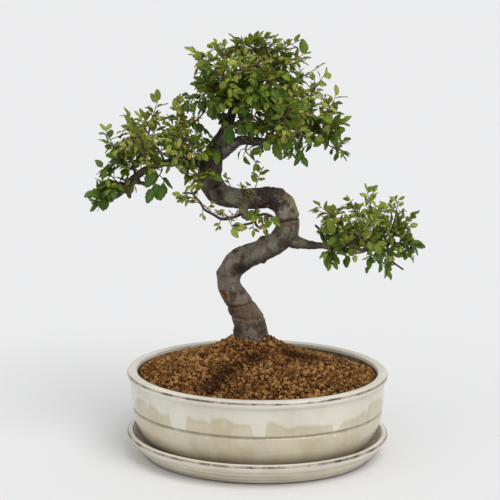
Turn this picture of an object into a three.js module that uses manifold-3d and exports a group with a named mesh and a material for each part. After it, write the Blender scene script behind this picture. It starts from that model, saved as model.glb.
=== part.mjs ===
// Chinese elm bonsai: an S of trunk in granular soil, in an oval glazed pot on its saucer.
// Millimetres, +Z up. The origin is the middle of the saucer's flat underside, the front is towards -Y
// and the pot's long axis lies along X.

import * as THREE from 'three';
import { mergeVertices } from 'three/addons/utils/BufferGeometryUtils.js';
import Module from 'manifold-3d';

const wasm = await Module();
wasm.setup();

// Gap between pieces that rest on or in each other
const CLEARANCE = 0.3;

// Gap between a limb and the stem of a spray that grows from it
const ROOT_GAP = 0.5;

// Ovals: every outline is a circle of the given half length, drawn in across the pot by a fixed amount,
// or in proportion where the half length is under OVAL_CORE
const OVAL_SIDES = 40;
const OVAL_CORE = 60;

// Saucer, half lengths and heights
const SAUCER_DRAWN_IN = 20.3;
const SAUCER_RIM = 108.6;
const SAUCER_FOOT = 94;
const SAUCER_TOP = 20;
const SAUCER_FLOOR = 5.5;
const SAUCER_WALL = 6;

// Pot, half lengths and heights
const POT_DRAWN_IN = 21;
const POT_RIM = 108;
const POT_TOP = 72;
const POT_LIP = 9.2;
const POT_LIP_HEIGHT = 6.5;
const POT_UNDER_LIP = 105.6;
const POT_GROOVE = 103.6;
const POT_GROOVE_HEIGHT = 41;
const POT_GROOVE_DEPTH = 1.6;
const POT_FOOT = 84;
const POT_UNDERSIDE = 8.5;
const POT_FLOOR = 15;
const POT_WALL = 6.5;
const FOOT_RADIUS = 9;
const FOOT_PLACE = { x: 54, y: 36 };

// Drainage: a hole at each end of the floor, with a square of plastic mesh laid over it
const HOLE_RADIUS = 7;
const HOLE_PLACE = 38;
const MESH_SIDE = 24;
const MESH_THICKNESS = 0.9;
const MESH_BAR = 2;
const MESH_HOLES = 2;

// Soil: its surface at the wall, its heap in the middle, the extra rise at the trunk, and its granules
const SOIL_EDGE = 67;
const SOIL_HEAP = 16;
const SOIL_COLLAR = 11;
const SOIL_COLLAR_REACH = 34;
const SOIL_SINK = { x: 62, y: 44, depth: 6, reach: 34 };
const GRAIN_SPACING = 7;
const GRAIN_HEIGHT = 1.5;

// The tree's limbs, each a smooth path through points of [x, y, z, radius]
const LIMBS = {
  trunk: [
    [-4, 23, 62, 10], [-6, 22, 80, 13.5], [-8, 22, 93, 16.2], [-9, 22, 106, 13.4], [-17, 21, 121, 11.6],
    [-25, 19, 137, 10], [-24, 18, 149, 10.6], [-16, 16, 159, 11], [-1, 12, 167, 9.6], [15, 9, 176, 9.4],
    [24, 8, 189, 9.7], [22, 10, 205, 9.3], [12, 14, 212, 9.6], [-5, 19, 210.5, 8.7], [-21, 22, 210, 8.6],
    [-34, 23, 214, 9.6], [-41.5, 22, 226, 10.2], [-40, 21, 240, 9.4], [-36, 20, 253, 6.3], [-29, 18, 264, 5],
    [-24, 17, 276, 3.9], [-20, 19, 288, 3.4], [-13, 21, 304, 2.7], [-10, 20, 316, 2.1], [-7, 18, 328, 1.4],
  ],
  right: [
    [-38, 21, 243, 5], [-27, 18, 250, 4.8], [-16, 13, 259, 4], [-3, 7, 260, 3.6], [9, 4, 260, 3.3],
    [23, 5, 265, 2.8], [36, 8, 266, 2.3], [47, 8, 262, 1.7], [56, 6, 258, 1.1],
  ],
  left: [
    [-41, 21, 242, 6], [-54, 17, 240, 4.3], [-66, 14, 241, 3.6], [-80, 11, 239, 3], [-92, 9, 235, 2.8],
    [-101, 8, 228, 3.4], [-108, 8, 220, 3.3], [-114, 8, 214, 2.4], [-121, 7, 210, 1.5],
  ],
  low: [
    [20, 9, 182, 6], [29, 8, 178, 5], [45, 4, 176, 3.2], [60, 1, 176, 2.8], [78, 1, 172.5, 2.3],
    [91, 4, 175, 2], [104, 4, 178.5, 1.5], [113, 3, 180, 1.1],
  ],
  low_bare: [[95, 4, 176, 1.2], [106, 1, 167, 0.9], [118, -1, 159, 0.7]],
  low_stub: [[57, 2, 176, 1.5], [51, 0, 189, 1.1], [47, -2, 194, 0.9]],
  loop_twig: [
    [16, 6, 189, 1.6], [14, 0, 198, 1.3], [7, -1, 202, 1.2], [-1, -1, 200, 1.1], [-4, -1, 195, 1],
    [-11, -1, 193, 1], [-20, -1, 192, 0.9],
  ],
  trail_twig: [
    [-11, 18, 203, 1.7], [-15, 9, 199, 1.3], [-28, 4, 196, 1.2], [-36, 3, 200, 1.1], [-43, 2, 204, 1],
    [-46, 2, 209, 1], [-49, 2, 213, 0.9],
  ],
  cut_stub: [[-46, 17, 242, 3.4], [-60, 8, 237, 2.8]],
  knot: [[-34, 19, 217, 6], [-31, 9.5, 217, 4.2]],
  knob: [[-13, 17, 207, 4], [-11, 8, 197, 2.8]],
  spur_near: [[2, 6, 260, 1.6], [4, 3, 252, 1]],
  spur_mid: [[10, 4, 261, 1.5], [9, 1, 254, 1]],
  dead_wood: [[-104, 8, 224, 2.4], [-104, 6, 212, 1]],
};
const TRUNK_SIDES = 10;
const LIMB_SIDES = 7;
const TWIG_SIDES = 4;
const TRUNK_STEP = 11;
const LIMB_STEP = 13;
const LIMB_RADIUS = 2.5;

// The leafy sprays: the limb or earlier spray that each grows from, how far along it, counted in its points,
// and the points that its branchlet runs through
const SPRAYS = [
  ['apex', 'trunk', 24, [-1, 16, 335]],
  ['crown_top_left', 'trunk', 23.4, [-14, 12, 329], [-16, 8, 335]],
  ['crown_upper_left', 'trunk', 22.6, [-18, 15, 313], [-28, 12, 317], [-37, 12, 319], [-45, 15, 324]],
  ['crown_shoulder_left', 'crown_upper_left', 2, [-29, 6, 330]],
  ['crown_upper_right', 'trunk', 23.2, [2, 14, 328], [11, 12, 331], [21, 12, 335]],
  ['crown_front', 'trunk', 21.7, [-16, 5, 305], [-13, -10, 315], [-3, -18, 322], [8, -25, 328]],
  ['crown_front_left', 'crown_front', 2, [-24, -22, 318]],
  ['crown_left', 'trunk', 21, [-32, 12, 293], [-40, 8, 289], [-45, 5, 281], [-52, 2, 274], [-60, -2, 270]],
  ['crown_left_front', 'crown_left', 1.3, [-38, -6, 306]],
  ['crown_left_up', 'crown_left', 2.5, [-52, 6, 294]],
  ['crown_low_front', 'crown_left', 0.5, [-23, -4, 298]],
  ['crown_back', 'trunk', 21.6, [-12, 38, 304], [-5, 47, 311], [3, 54, 326]],
  ['crown_back_left', 'trunk', 21.3, [-28, 35, 299], [-36, 41, 305], [-46, 45, 316]],
  ['crown_right', 'trunk', 22, [-3, 20, 303], [18, 20, 304], [28, 22, 307], [37, 23, 312]],
  ['crown_front_mid', 'crown_right', 1.3, [10, -12, 312]],
  ['crown_shoulder_right', 'crown_right', 2.6, [28, 12, 325]],
  ['crown_hanging', 'crown_right', 2.3, [18, 0, 292]],
  ['crown_back_right', 'crown_right', 1.8, [22, 45, 318]],
  ['right_up', 'right', 5.2, [31, 10, 274], [36, 12, 285], [40, 13, 295], [46, 14, 304]],
  ['right_up_side', 'right_up', 2, [26, -4, 290]],
  ['right_out', 'right', 6, [45, 14, 271], [53, 16, 279], [57, 15, 287]],
  ['right_tip', 'right', 7, [54, 12, 267], [60, 12, 271]],
  ['right_end', 'right', 8, [62, 3, 256]],
  ['right_hanging', 'right', 5.8, [32, -4, 256]],
  ['right_front', 'right', 4, [15, -10, 272], [23, -22, 283], [28, -31, 292]],
  ['right_hook', 'right', 4.9, [14, 0, 272], [4, -4, 275], [-3, -6, 281], [-3, -7, 289], [2, -11, 298]],
  ['right_back', 'right', 4.7, [23, 20, 269], [28, 34, 275], [33, 44, 282], [38, 51, 290]],
  ['left_up', 'left', 3.3, [-87, 8, 249], [-89, 8, 260], [-88, 9, 271], [-85, 8, 280]],
  ['left_up_side', 'left_up', 2.5, [-101, 2, 270]],
  ['left_near_up', 'left', 2.4, [-68, 12, 251], [-66, 12, 262], [-66, 10, 278]],
  ['left_far_up', 'left', 4.7, [-108, 10, 237], [-114, 10, 245], [-121, 9, 259]],
  ['left_far', 'left', 5.9, [-114, 8, 223], [-121, 8, 230]],
  ['left_low', 'left_far', 1, [-123, 0, 219]],
  ['left_end', 'left', 8, [-123, 6, 212]],
  ['left_front', 'left', 3.6, [-89, -6, 249], [-90, -16, 261], [-93, -24, 270]],
  ['left_hanging', 'left', 3, [-80, 0, 231]],
  ['left_near_front', 'left', 1.9, [-60, 0, 251], [-57, -10, 260], [-58, -18, 267]],
  ['left_back', 'left', 2.8, [-85, 28, 248], [-93, 38, 256], [-99, 44, 265]],
  ['low_near', 'low', 3.3, [66, -2, 187], [65, -4, 199], [56, -5, 208]],
  ['low_mid', 'low', 4, [80, 2, 185], [82, 3, 198], [78, 3, 212]],
  ['low_far', 'low', 5.1, [94, 5, 187], [93, 6, 199], [90, 8, 211]],
  ['low_out', 'low', 6, [107, 6, 189], [110, 6, 198], [112, 5, 209]],
  ['low_out_side', 'low_out', 1.6, [116, 1, 194]],
  ['low_end', 'low', 7, [117, 2, 178]],
  ['low_hanging', 'low', 3.1, [62, -8, 173]],
  ['low_down', 'low', 4.9, [94, -3, 170], [99, -6, 166]],
  ['low_front', 'low', 3.6, [79, -14, 185], [92, -30, 203]],
  ['low_back', 'low', 4.4, [89, 18, 180], [101, 33, 197]],
  ['trail_end', 'trail_twig', 6, [-52, 1, 214]],
  ['trail_side', 'trail_twig', 2, [-23, -4, 200]],
  ['loop_side', 'loop_twig', 2.4, [5, -8, 197]],
  ['trunk_front', 'trunk', 13.3, [-10, 2, 222]],
  ['right_under', 'right', 2.6, [-4, 0, 247]],
  ['trunk_left', 'trunk', 16.4, [-46, 3, 229]],
];
const SIDE_SHOOTS = 6;
const KEPT_SHOOTS = [2, 5, SIDE_SHOOTS];
const SIDE_SHOOT_LEAVES = 2;
const END_SHOOT_LEAVES = 3;
const TWIG_RADIUS = 0.5;
const STEM_TAPER = 0.025;
const STEM_RADIUS = 1.2;
const LEAF_LENGTH = 12;
const LEAF_SPACING = 0.28;
const LEAF_THICKNESS = 0.8;
const LEAF_ARCH = 0.16;
const LEAF_CLEARANCE = 0.35;
const LEAF_ROLLS = [0, 0.4, -0.4, 0.8, -0.8];
const LEAF_LIFTS = [0, 0.3, -0.3];
const SHOOT_SWINGS = [0, 0.4, -0.4, 0.8, -0.8, 1.2, -1.2];
// Rows of a leaf as [distance from its foot, half width], in shares of its length. The longest have a tooth
// cut into each edge
const SHORT_LEAF = { under: 12.4, rows: [[0.46, 0.29]] };
const LEAF = { under: 16.4, rows: [[0.32, 0.25], [0.68, 0.24]] };
const LONG_LEAF = { under: Infinity, rows: [[0.24, 0.22], [0.5, 0.28], [0.58, 0.22], [0.76, 0.19]] };

// The middles of the pads of foliage. A leaf faces up and away from the middle of its pad, and those under
// it, in its shade, hang and are larger
const PADS = [[-8, 16, 302], [34, 8, 272], [-88, 8, 242], [88, 2, 184], [-30, 8, 190]];
const UPWARD = 0.55;
const OUTWARD = 0.8;
const SHADE_GROWTH = 0.3;

const UP = new THREE.Vector3(0, 0, 1);

const paint = (color, roughness) => new THREE.MeshStandardMaterial({ color, roughness, metalness: 0 });
const glaze = paint(0xe4dcc6, 0.18);
const granules = paint(0x8a5a32, 0.95);
const bark = paint(0x837766, 0.85);
const plastic = paint(0x2c2f2c, 0.6);
const leafGreen = paint(0x5f8a33, 0.5);

// A repeatable stream of numbers from 0 to 1
function stream(seed) {
  let state = (seed * 7919) >>> 0;
  return () => {
    state = (Math.imul(state, 1664525) + 1013904223) >>> 0;
    return state / 4294967296;
  };
}

// A closed solid from a geometry, with shared corners merged and empty triangles left out
function solidFrom(geometry) {
  geometry.deleteAttribute('normal');
  geometry.deleteAttribute('uv');
  const merged = mergeVertices(geometry, 1e-4);
  const corners = [];
  for (let i = 0; i < merged.index.count; i += 3) {
    const [a, b, c] = [merged.index.getX(i), merged.index.getX(i + 1), merged.index.getX(i + 2)];
    if (a !== b && b !== c && c !== a) corners.push(a, b, c);
  }
  return new wasm.Manifold(new wasm.Mesh({
    numProp: 3,
    vertProperties: new Float32Array(merged.attributes.position.array),
    triVerts: Uint32Array.from(corners),
  }));
}

function solidOf(points, triangles) {
  const geometry = new THREE.BufferGeometry();
  const numbers = points.flatMap((point) => [point.x, point.y, point.z]);
  geometry.setAttribute('position', new THREE.Float32BufferAttribute(numbers, 3));
  geometry.setIndex(triangles.flat());
  return solidFrom(geometry);
}

function piece(name, solid, material) {
  const { vertProperties, triVerts } = solid.getMesh();
  const geometry = new THREE.BufferGeometry();
  geometry.setAttribute('position', new THREE.BufferAttribute(vertProperties, 3));
  geometry.setIndex(new THREE.BufferAttribute(triVerts, 1));
  geometry.computeVertexNormals();
  const mesh = new THREE.Mesh(geometry, material);
  mesh.name = name;
  return mesh;
}

function cylinder(radius, bottom, top, x, y) {
  const geometry = new THREE.CylinderGeometry(radius, radius, top - bottom, 12).rotateX(Math.PI / 2);
  return solidFrom(geometry.translate(x, y, (bottom + top) / 2));
}

function block(width, depth, bottom, top, x, y) {
  const geometry = new THREE.BoxGeometry(width, depth, top - bottom);
  return solidFrom(geometry.translate(x, y, (bottom + top) / 2));
}

// A closed profile of (half length, height), turned round the upright axis and drawn in to an oval
function ovalSolid(profile, drawnIn) {
  const geometry = new THREE.LatheGeometry(profile, OVAL_SIDES).rotateX(Math.PI / 2);
  const place = geometry.attributes.position;
  for (let i = 0; i < place.count; i++) {
    const halfLength = Math.hypot(place.getX(i), place.getY(i));
    place.setY(i, place.getY(i) * (1 - drawnIn / Math.max(halfLength, OVAL_CORE)));
  }
  return solidFrom(geometry);
}

function makeSaucer() {
  const profile = new THREE.Path();
  profile.moveTo(0, 0);
  profile.lineTo(SAUCER_FOOT, 0);
  profile.lineTo(SAUCER_FOOT + 1.5, 1.5);
  profile.quadraticCurveTo(SAUCER_RIM - 3, 12, SAUCER_RIM, SAUCER_TOP - 2);
  profile.lineTo(SAUCER_RIM - 1, SAUCER_TOP);
  profile.lineTo(SAUCER_RIM - SAUCER_WALL + 1, SAUCER_TOP);
  profile.lineTo(SAUCER_RIM - SAUCER_WALL, SAUCER_TOP - 1);
  profile.quadraticCurveTo(SAUCER_FOOT + 2, SAUCER_FLOOR + 1, SAUCER_FOOT - 6, SAUCER_FLOOR);
  profile.lineTo(0, SAUCER_FLOOR);
  return ovalSolid(profile.getPoints(2), SAUCER_DRAWN_IN);
}

// The pot's inner wall from the lip down, the given distance inside it
function traceInnerWall(profile, inset) {
  const side = POT_RIM - POT_LIP - inset;
  profile.lineTo(side, POT_TOP - 2);
  profile.lineTo(POT_GROOVE - POT_WALL - inset, POT_GROOVE_HEIGHT);
  const floor = POT_FLOOR + inset;
  profile.quadraticCurveTo(POT_FOOT + 9 - inset, floor + 3, POT_FOOT - 6 - inset, floor);
  profile.lineTo(0, floor);
}

function makePot() {
  const profile = new THREE.Path();
  profile.moveTo(0, POT_UNDERSIDE);
  profile.lineTo(POT_FOOT, POT_UNDERSIDE);
  profile.quadraticCurveTo(POT_FOOT + 14, POT_UNDERSIDE + 4.5, POT_GROOVE, POT_GROOVE_HEIGHT - 1.5);
  profile.lineTo(POT_GROOVE - POT_GROOVE_DEPTH, POT_GROOVE_HEIGHT);
  profile.lineTo(POT_GROOVE + 0.3, POT_GROOVE_HEIGHT + 1.5);
  profile.lineTo(POT_UNDER_LIP, POT_TOP - POT_LIP_HEIGHT - 1.5);
  profile.lineTo(POT_RIM - 1, POT_TOP - POT_LIP_HEIGHT);
  profile.lineTo(POT_RIM, POT_TOP - 2);
  profile.lineTo(POT_RIM - 1.5, POT_TOP - 0.6);
  profile.lineTo(POT_RIM - POT_LIP / 2, POT_TOP);
  traceInnerWall(profile, 0);
  let pot = ovalSolid(profile.getPoints(2), POT_DRAWN_IN);
  for (const x of [-FOOT_PLACE.x, FOOT_PLACE.x]) {
    for (const y of [-FOOT_PLACE.y, FOOT_PLACE.y]) {
      pot = pot.add(cylinder(FOOT_RADIUS, SAUCER_FLOOR + CLEARANCE, POT_UNDERSIDE + 1, x, y));
    }
    pot = pot.subtract(cylinder(HOLE_RADIUS, 0, POT_FLOOR + 1, Math.sign(x) * HOLE_PLACE, 0));
  }
  return pot;
}

function makeDrainMesh(x) {
  const bottom = POT_FLOOR + CLEARANCE;
  const pitch = (MESH_SIDE - MESH_BAR) / MESH_HOLES;
  const opening = pitch - MESH_BAR;
  let sheet = block(MESH_SIDE, MESH_SIDE, bottom, bottom + MESH_THICKNESS, x, 0);
  for (let row = 0; row < MESH_HOLES; row++) {
    for (let column = 0; column < MESH_HOLES; column++) {
      const across = (row - (MESH_HOLES - 1) / 2) * pitch;
      const along = (column - (MESH_HOLES - 1) / 2) * pitch;
      sheet = sheet.subtract(block(opening, opening, bottom - 1, bottom + 2, x + along, across));
    }
  }
  return sheet;
}

// Height of the soil's surface, without its granules
function soilHeight(x, y) {
  const [trunkX, trunkY] = LIMBS.trunk[2];
  const inner = POT_RIM - POT_LIP;
  const outward = (x / inner) ** 2 + (y / (inner - POT_DRAWN_IN)) ** 2;
  const fromTrunk = Math.hypot(x - trunkX, y - trunkY) / SOIL_COLLAR_REACH;
  const fromSink = Math.hypot(x - SOIL_SINK.x, y - SOIL_SINK.y) / SOIL_SINK.reach;
  return SOIL_EDGE + SOIL_HEAP * (1 - Math.min(outward, 1)) + SOIL_COLLAR * Math.exp(-(fromTrunk ** 2))
    - SOIL_SINK.depth * Math.exp(-(fromSink ** 2));
}

// A slab whose top is a field of granules: in a net of triangles every third corner is a peak
function makeGranuleSlab() {
  const random = stream(1);
  const columns = Math.ceil((2 * POT_RIM) / GRAIN_SPACING) + 2;
  const rowStep = GRAIN_SPACING * Math.sqrt(0.75);
  const rows = Math.ceil((2 * (POT_RIM - POT_DRAWN_IN)) / rowStep) + 2;
  const top = [];
  const triangles = [];
  for (let row = 0; row < rows; row++) {
    for (let column = 0; column < columns; column++) {
      const x = (column + (row % 2) / 2 - columns / 2) * GRAIN_SPACING;
      const y = (row - rows / 2) * rowStep;
      const peak = (column - Math.floor(row / 2) - row + 3 * rows) % 3 === 0;
      const lift = peak ? 0.6 + 0.8 * random() : -0.2 - 0.8 * random();
      const shift = GRAIN_SPACING * 0.22;
      const nudge = [shift * (random() - 0.5), shift * (random() - 0.5)];
      top.push(new THREE.Vector3(x + nudge[0], y + nudge[1], soilHeight(x, y) + GRAIN_HEIGHT * lift));
    }
  }
  const bottom = top.map((point) => new THREE.Vector3(point.x, point.y, 0));
  const cell = (row, column) => row * columns + column;
  const under = top.length;
  for (let row = 0; row + 1 < rows; row++) {
    for (let column = 0; column + 1 < columns; column++) {
      const [a, b] = [cell(row, column), cell(row, column + 1)];
      const [c, d] = [cell(row + 1, column), cell(row + 1, column + 1)];
      const pair = row % 2 ? [[a, b, d], [a, d, c]] : [[a, b, c], [b, d, c]];
      for (const [i, j, k] of pair) triangles.push([i, j, k], [under + i, under + k, under + j]);
    }
  }
  const wall = (i, j) => triangles.push([i, under + i, j], [j, under + i, under + j]);
  for (let column = 0; column + 1 < columns; column++) {
    wall(cell(0, column), cell(0, column + 1));
    wall(cell(rows - 1, column + 1), cell(rows - 1, column));
  }
  for (let row = 0; row + 1 < rows; row++) {
    wall(cell(row, columns - 1), cell(row + 1, columns - 1));
    wall(cell(row + 1, 0), cell(row, 0));
  }
  return solidOf([...top, ...bottom], triangles);
}

function makeSoil() {
  const profile = new THREE.Path();
  profile.moveTo(0, 2 * POT_TOP);
  profile.lineTo(POT_RIM - POT_LIP - CLEARANCE, 2 * POT_TOP);
  traceInnerWall(profile, CLEARANCE);
  const inside = ovalSolid(profile.getPoints(2).reverse(), POT_DRAWN_IN);
  let soil = makeGranuleSlab().intersect(inside);
  for (const x of [-HOLE_PLACE, HOLE_PLACE]) {
    const room = MESH_SIDE + 2 * CLEARANCE;
    soil = soil.subtract(block(room, room, 0, POT_FLOOR + MESH_THICKNESS + 2 * CLEARANCE, x, 0));
  }
  return soil.subtract(limbSolid(LIMBS.trunk, CLEARANCE));
}

// The point [x, y, z, radius] of a limb's smooth path, the place being counted in its points
function limbPoint(limb, place) {
  const last = limb.length - 1;
  const step = Math.min(Math.floor(place), last - 1);
  const t = place - step;
  const [p, q, r, s] = [-1, 0, 1, 2].map((i) => limb[Math.min(Math.max(step + i, 0), last)]);
  return q.map((value, k) => value + 0.5 * t * (r[k] - p[k]
    + t * (2 * p[k] - 5 * value + 4 * r[k] - s[k] + t * (3 * (value - r[k]) + s[k] - p[k]))));
}

function limbDirection(limb, place) {
  const before = new THREE.Vector3(...limbPoint(limb, Math.max(place - 0.1, 0)));
  const after = new THREE.Vector3(...limbPoint(limb, Math.min(place + 0.1, limb.length - 1)));
  return after.sub(before).normalize();
}

function limbLength(limb) {
  let length = 0;
  for (let i = 1; i < limb.length; i++) {
    length += new THREE.Vector3(...limb[i]).distanceTo(new THREE.Vector3(...limb[i - 1]));
  }
  return length;
}

// The part of a direction that is square to another, one unit long
function squareTo(direction, other) {
  return direction.clone().addScaledVector(other, -direction.dot(other)).normalize();
}

// Rings of corners round a path of [x, y, z, radius] stations, closed at both ends
function tubeSolid(stations, sides, swell = () => 1) {
  const centres = stations.map((station) => new THREE.Vector3(...station));
  const points = [];
  const triangles = [];
  let across = new THREE.Vector3(1, 0.2, 0);
  centres.forEach((centre, ring) => {
    const before = centres[Math.max(ring - 1, 0)];
    const after = centres[Math.min(ring + 1, centres.length - 1)];
    const heading = new THREE.Vector3().subVectors(after, before).normalize();
    across = squareTo(across, heading);
    const side = new THREE.Vector3().crossVectors(heading, across);
    for (let i = 0; i < sides; i++) {
      const angle = (2 * Math.PI * i) / sides;
      const radius = stations[ring][3] * swell(angle, centre.z);
      points.push(centre.clone().addScaledVector(across, radius * Math.cos(angle))
        .addScaledVector(side, radius * Math.sin(angle)));
    }
  });
  const count = stations.length;
  for (let ring = 0; ring + 1 < count; ring++) {
    for (let i = 0; i < sides; i++) {
      const [a, b] = [ring * sides + i, ring * sides + ((i + 1) % sides)];
      triangles.push([a, b, b + sides], [a, b + sides, a + sides]);
    }
  }
  for (let i = 1; i + 1 < sides; i++) {
    const end = (count - 1) * sides;
    triangles.push([0, i + 1, i], [end, end + i, end + i + 1]);
  }
  return solidOf(points, triangles);
}

// The trunk isn't round: it is oval in section, lobed at its foot, and twists as it climbs
function trunkSwell(angle, z) {
  const foot = Math.exp(-(((z - 88) / 14) ** 2));
  const lobes = 0.07 * foot * Math.cos(5 * angle + 1);
  return 1 + 0.05 * Math.cos(2 * angle + z / 40) + 0.03 * Math.cos(3 * angle - z / 22) + lobes;
}

// A limb, or the hole that it stands in, which is larger by the extra given all round and at its foot
function limbSolid(limb, extra = 0) {
  const isTrunk = limb === LIMBS.trunk;
  const sides = isTrunk ? TRUNK_SIDES : limb[0][3] > LIMB_RADIUS ? LIMB_SIDES : TWIG_SIDES;
  const rings = Math.max(Math.round(limbLength(limb) / (isTrunk ? TRUNK_STEP : LIMB_STEP)), 1);
  const stations = [];
  for (let i = 0; i <= rings; i++) {
    const [x, y, z, radius] = limbPoint(limb, (i / rings) * (limb.length - 1));
    stations.push([x, y, z, radius + extra]);
  }
  const foot = new THREE.Vector3(...stations[0]).addScaledVector(limbDirection(limb, 0), -extra);
  stations[0].splice(0, 3, ...foot.toArray());
  return tubeSolid(stations, sides, isTrunk ? trunkSwell : undefined);
}

// A repeatable shake of a direction
function shake(random, amount) {
  const [x, y, z] = [random() - 0.5, random() - 0.5, random() - 0.5];
  return new THREE.Vector3(x, y, z).multiplyScalar(2 * amount);
}

// The stem of a spray, as limb points: it leaves the side of a limb squarely and its end straight on. A limb
// is round, and a stem is square
function growStem(parent, isRound, place, path) {
  const [x, y, z, radius] = limbPoint(parent, place);
  const root = new THREE.Vector3(x, y, z);
  const heading = limbDirection(parent, place);
  const isEnd = place === parent.length - 1;
  const out = isEnd ? heading : squareTo(new THREE.Vector3(...path[0]).sub(root), heading);
  const side = isRound ? radius : radius * Math.SQRT2;
  const start = root.clone().addScaledVector(out, ROOT_GAP + (isEnd ? 0 : side));
  const knee = start.clone().addScaledVector(out, 0.35 * start.distanceTo(new THREE.Vector3(...path[0])));
  const points = [start.toArray(), knee.toArray(), ...path];
  const thick = Math.min(TWIG_RADIUS + STEM_TAPER * limbLength(points), STEM_RADIUS);
  const taper = (thick - TWIG_RADIUS) / (points.length - 1);
  return points.map((point, i) => [...point, thick - i * taper]);
}

// The way from the middle of the nearest pad of foliage to a point
function outwardFrom(point) {
  const ways = PADS.map((middle) => point.clone().sub(new THREE.Vector3(...middle)));
  return ways.sort((one, other) => one.length() - other.length())[0].normalize();
}

// A shoot and its leaves: they leave it by turns, the first one away from the stem's tip, and one ends it
function growShoot(random, { start, radius, direction, flat, face, turn }) {
  const normal = squareTo(flat, direction);
  const right = new THREE.Vector3().crossVectors(direction, normal);
  const shade = Math.max(-outwardFrom(start).z, 0);
  const leafLength = LEAF_LENGTH * (0.75 + 0.5 * random()) * (1 + SHADE_GROWTH * shade);
  const count = turn ? SIDE_SHOOT_LEAVES : END_SHOOT_LEAVES;
  const stations = [start.clone()];
  for (let j = 0; j < count; j++) {
    const step = j === 0 ? radius + 1.8 + 0.8 * random() : LEAF_SPACING * leafLength;
    stations.push(stations[j].clone().addScaledVector(direction, step));
  }
  const leaves = [];
  for (let j = 0; j <= count; j++) {
    const isTip = j === count;
    const leafTurn = isTip ? 0 : (j % 2 ? -1 : 1) * (turn || 1);
    const along = direction.clone().multiplyScalar(0.65).addScaledVector(right, 0.85 * leafTurn)
      .addScaledVector(UP, -0.7 * shade).add(shake(random, 0.2)).normalize();
    const facing = face.clone().addScaledVector(normal, 0.6).add(shake(random, 0.45));
    const foot = isTip ? stations[j].clone() : stations[j + 1].clone().addScaledVector(direction, -1);
    const length = leafLength * (isTip ? 0.95 : 0.85 + 0.3 * random());
    leaves.push({ foot, along, normal: squareTo(facing, along), length, turn: leafTurn });
  }
  return { stations, direction, normal, leaves };
}

// The way that a stem's upper side faces, carried along from its foot without a twist
function stemFace(stem, lean, place) {
  let face = UP.clone().addScaledVector(lean, 0.3);
  for (let at = 0; at < place; at += 0.25) face = squareTo(face, limbDirection(stem, at));
  return squareTo(face, limbDirection(stem, place));
}

// A spray as it grows: its stem, and shoots to left and right of it and at its end
function growSpray(stem, index) {
  const random = stream(index + 2);
  const last = stem.length - 1;
  const lean = new THREE.Vector3(random() - 0.5, random() - 0.5, 0).normalize();
  const shoots = [];
  for (let k = 0; k <= SIDE_SHOOTS; k++) {
    const isLast = k === SIDE_SHOOTS;
    const place = isLast ? last : last * (0.28 + (0.66 * (k + 0.6 * random())) / SIDE_SHOOTS);
    const [x, y, z, radius] = limbPoint(stem, place);
    const start = new THREE.Vector3(x, y, z);
    const forward = limbDirection(stem, place);
    const flat = stemFace(stem, lean, place);
    const turn = isLast ? 0 : k % 2 ? -1 : 1;
    const roll = 1.2 * (random() - 0.5);
    const side = new THREE.Vector3().crossVectors(forward, flat).applyAxisAngle(forward, roll);
    const direction = forward.clone().multiplyScalar(isLast ? 1 : 0.6).addScaledVector(side, 0.9 * turn)
      .addScaledVector(UP, isLast ? 0 : 0.1 + 0.3 * random()).normalize();
    const face = outwardFrom(start).multiplyScalar(OUTWARD).addScaledVector(UP, UPWARD);
    const shoot = growShoot(random, { start, radius: isLast ? 0 : radius, direction, flat, face, turn });
    shoots.push({ ...shoot, place, turn, axis: isLast ? flat : forward, kept: KEPT_SHOOTS.includes(k) });
  }
  return { stem, lean, shoots };
}

// A sheet is a set of corners and triangles that is given its thickness at the end. A corner has a place,
// the direction that its upper face looks in and half its thickness
const newSheet = () => ({ corners: [], triangles: [] });

function addCorner(sheet, place, normal, half) {
  sheet.corners.push({ place, normal, half });
  return sheet.corners.length - 1;
}

// Carries a strip on from its last edge, [left, right], to a new one
function addStation(sheet, edge, place, forward, normal, width) {
  const right = new THREE.Vector3().crossVectors(forward, normal);
  const next = [-1, 1].map((turn) => {
    const corner = place.clone().addScaledVector(right, (turn * width) / 2);
    return addCorner(sheet, corner, normal, width / 2);
  });
  if (edge) sheet.triangles.push([edge[0], edge[1], next[1]], [edge[0], next[1], next[0]]);
  return next;
}

// The outer edge of a strip's step on one side, as the first edge of what grows from it
function sideEdge(edge, next, turn) {
  return turn > 0 ? [next[1], edge[1]] : [edge[0], next[0]];
}

function leafRows(length) {
  return [SHORT_LEAF, LEAF, LONG_LEAF].find(({ under }) => length < under).rows;
}

// A leaf grown from an edge of the sheet, or standing alone, and larger all round by the extra given
function addLeaf(sheet, edge, { foot, along, normal, length }, extra = 0) {
  const left = new THREE.Vector3().crossVectors(normal, along);
  const half = LEAF_THICKNESS / 2 + extra;
  const at = (v, side) => foot.clone().addScaledVector(along, v * length)
    .addScaledVector(normal, -LEAF_ARCH * length * v * v).addScaledVector(left, side);
  let last = edge;
  if (!last) last = [1.2 + extra, -1.2 - extra].map((side) => addCorner(sheet, at(0, side), normal, half));
  for (const [v, share] of leafRows(length)) {
    const width = share * length + extra;
    const next = [width, -width].map((side) => addCorner(sheet, at(v, side), normal, half));
    sheet.triangles.push([last[0], last[1], next[1]], [last[0], next[1], next[0]]);
    last = next;
  }
  sheet.triangles.push([last[0], last[1], addCorner(sheet, at(1, 0), normal, 0)]);
}

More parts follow.
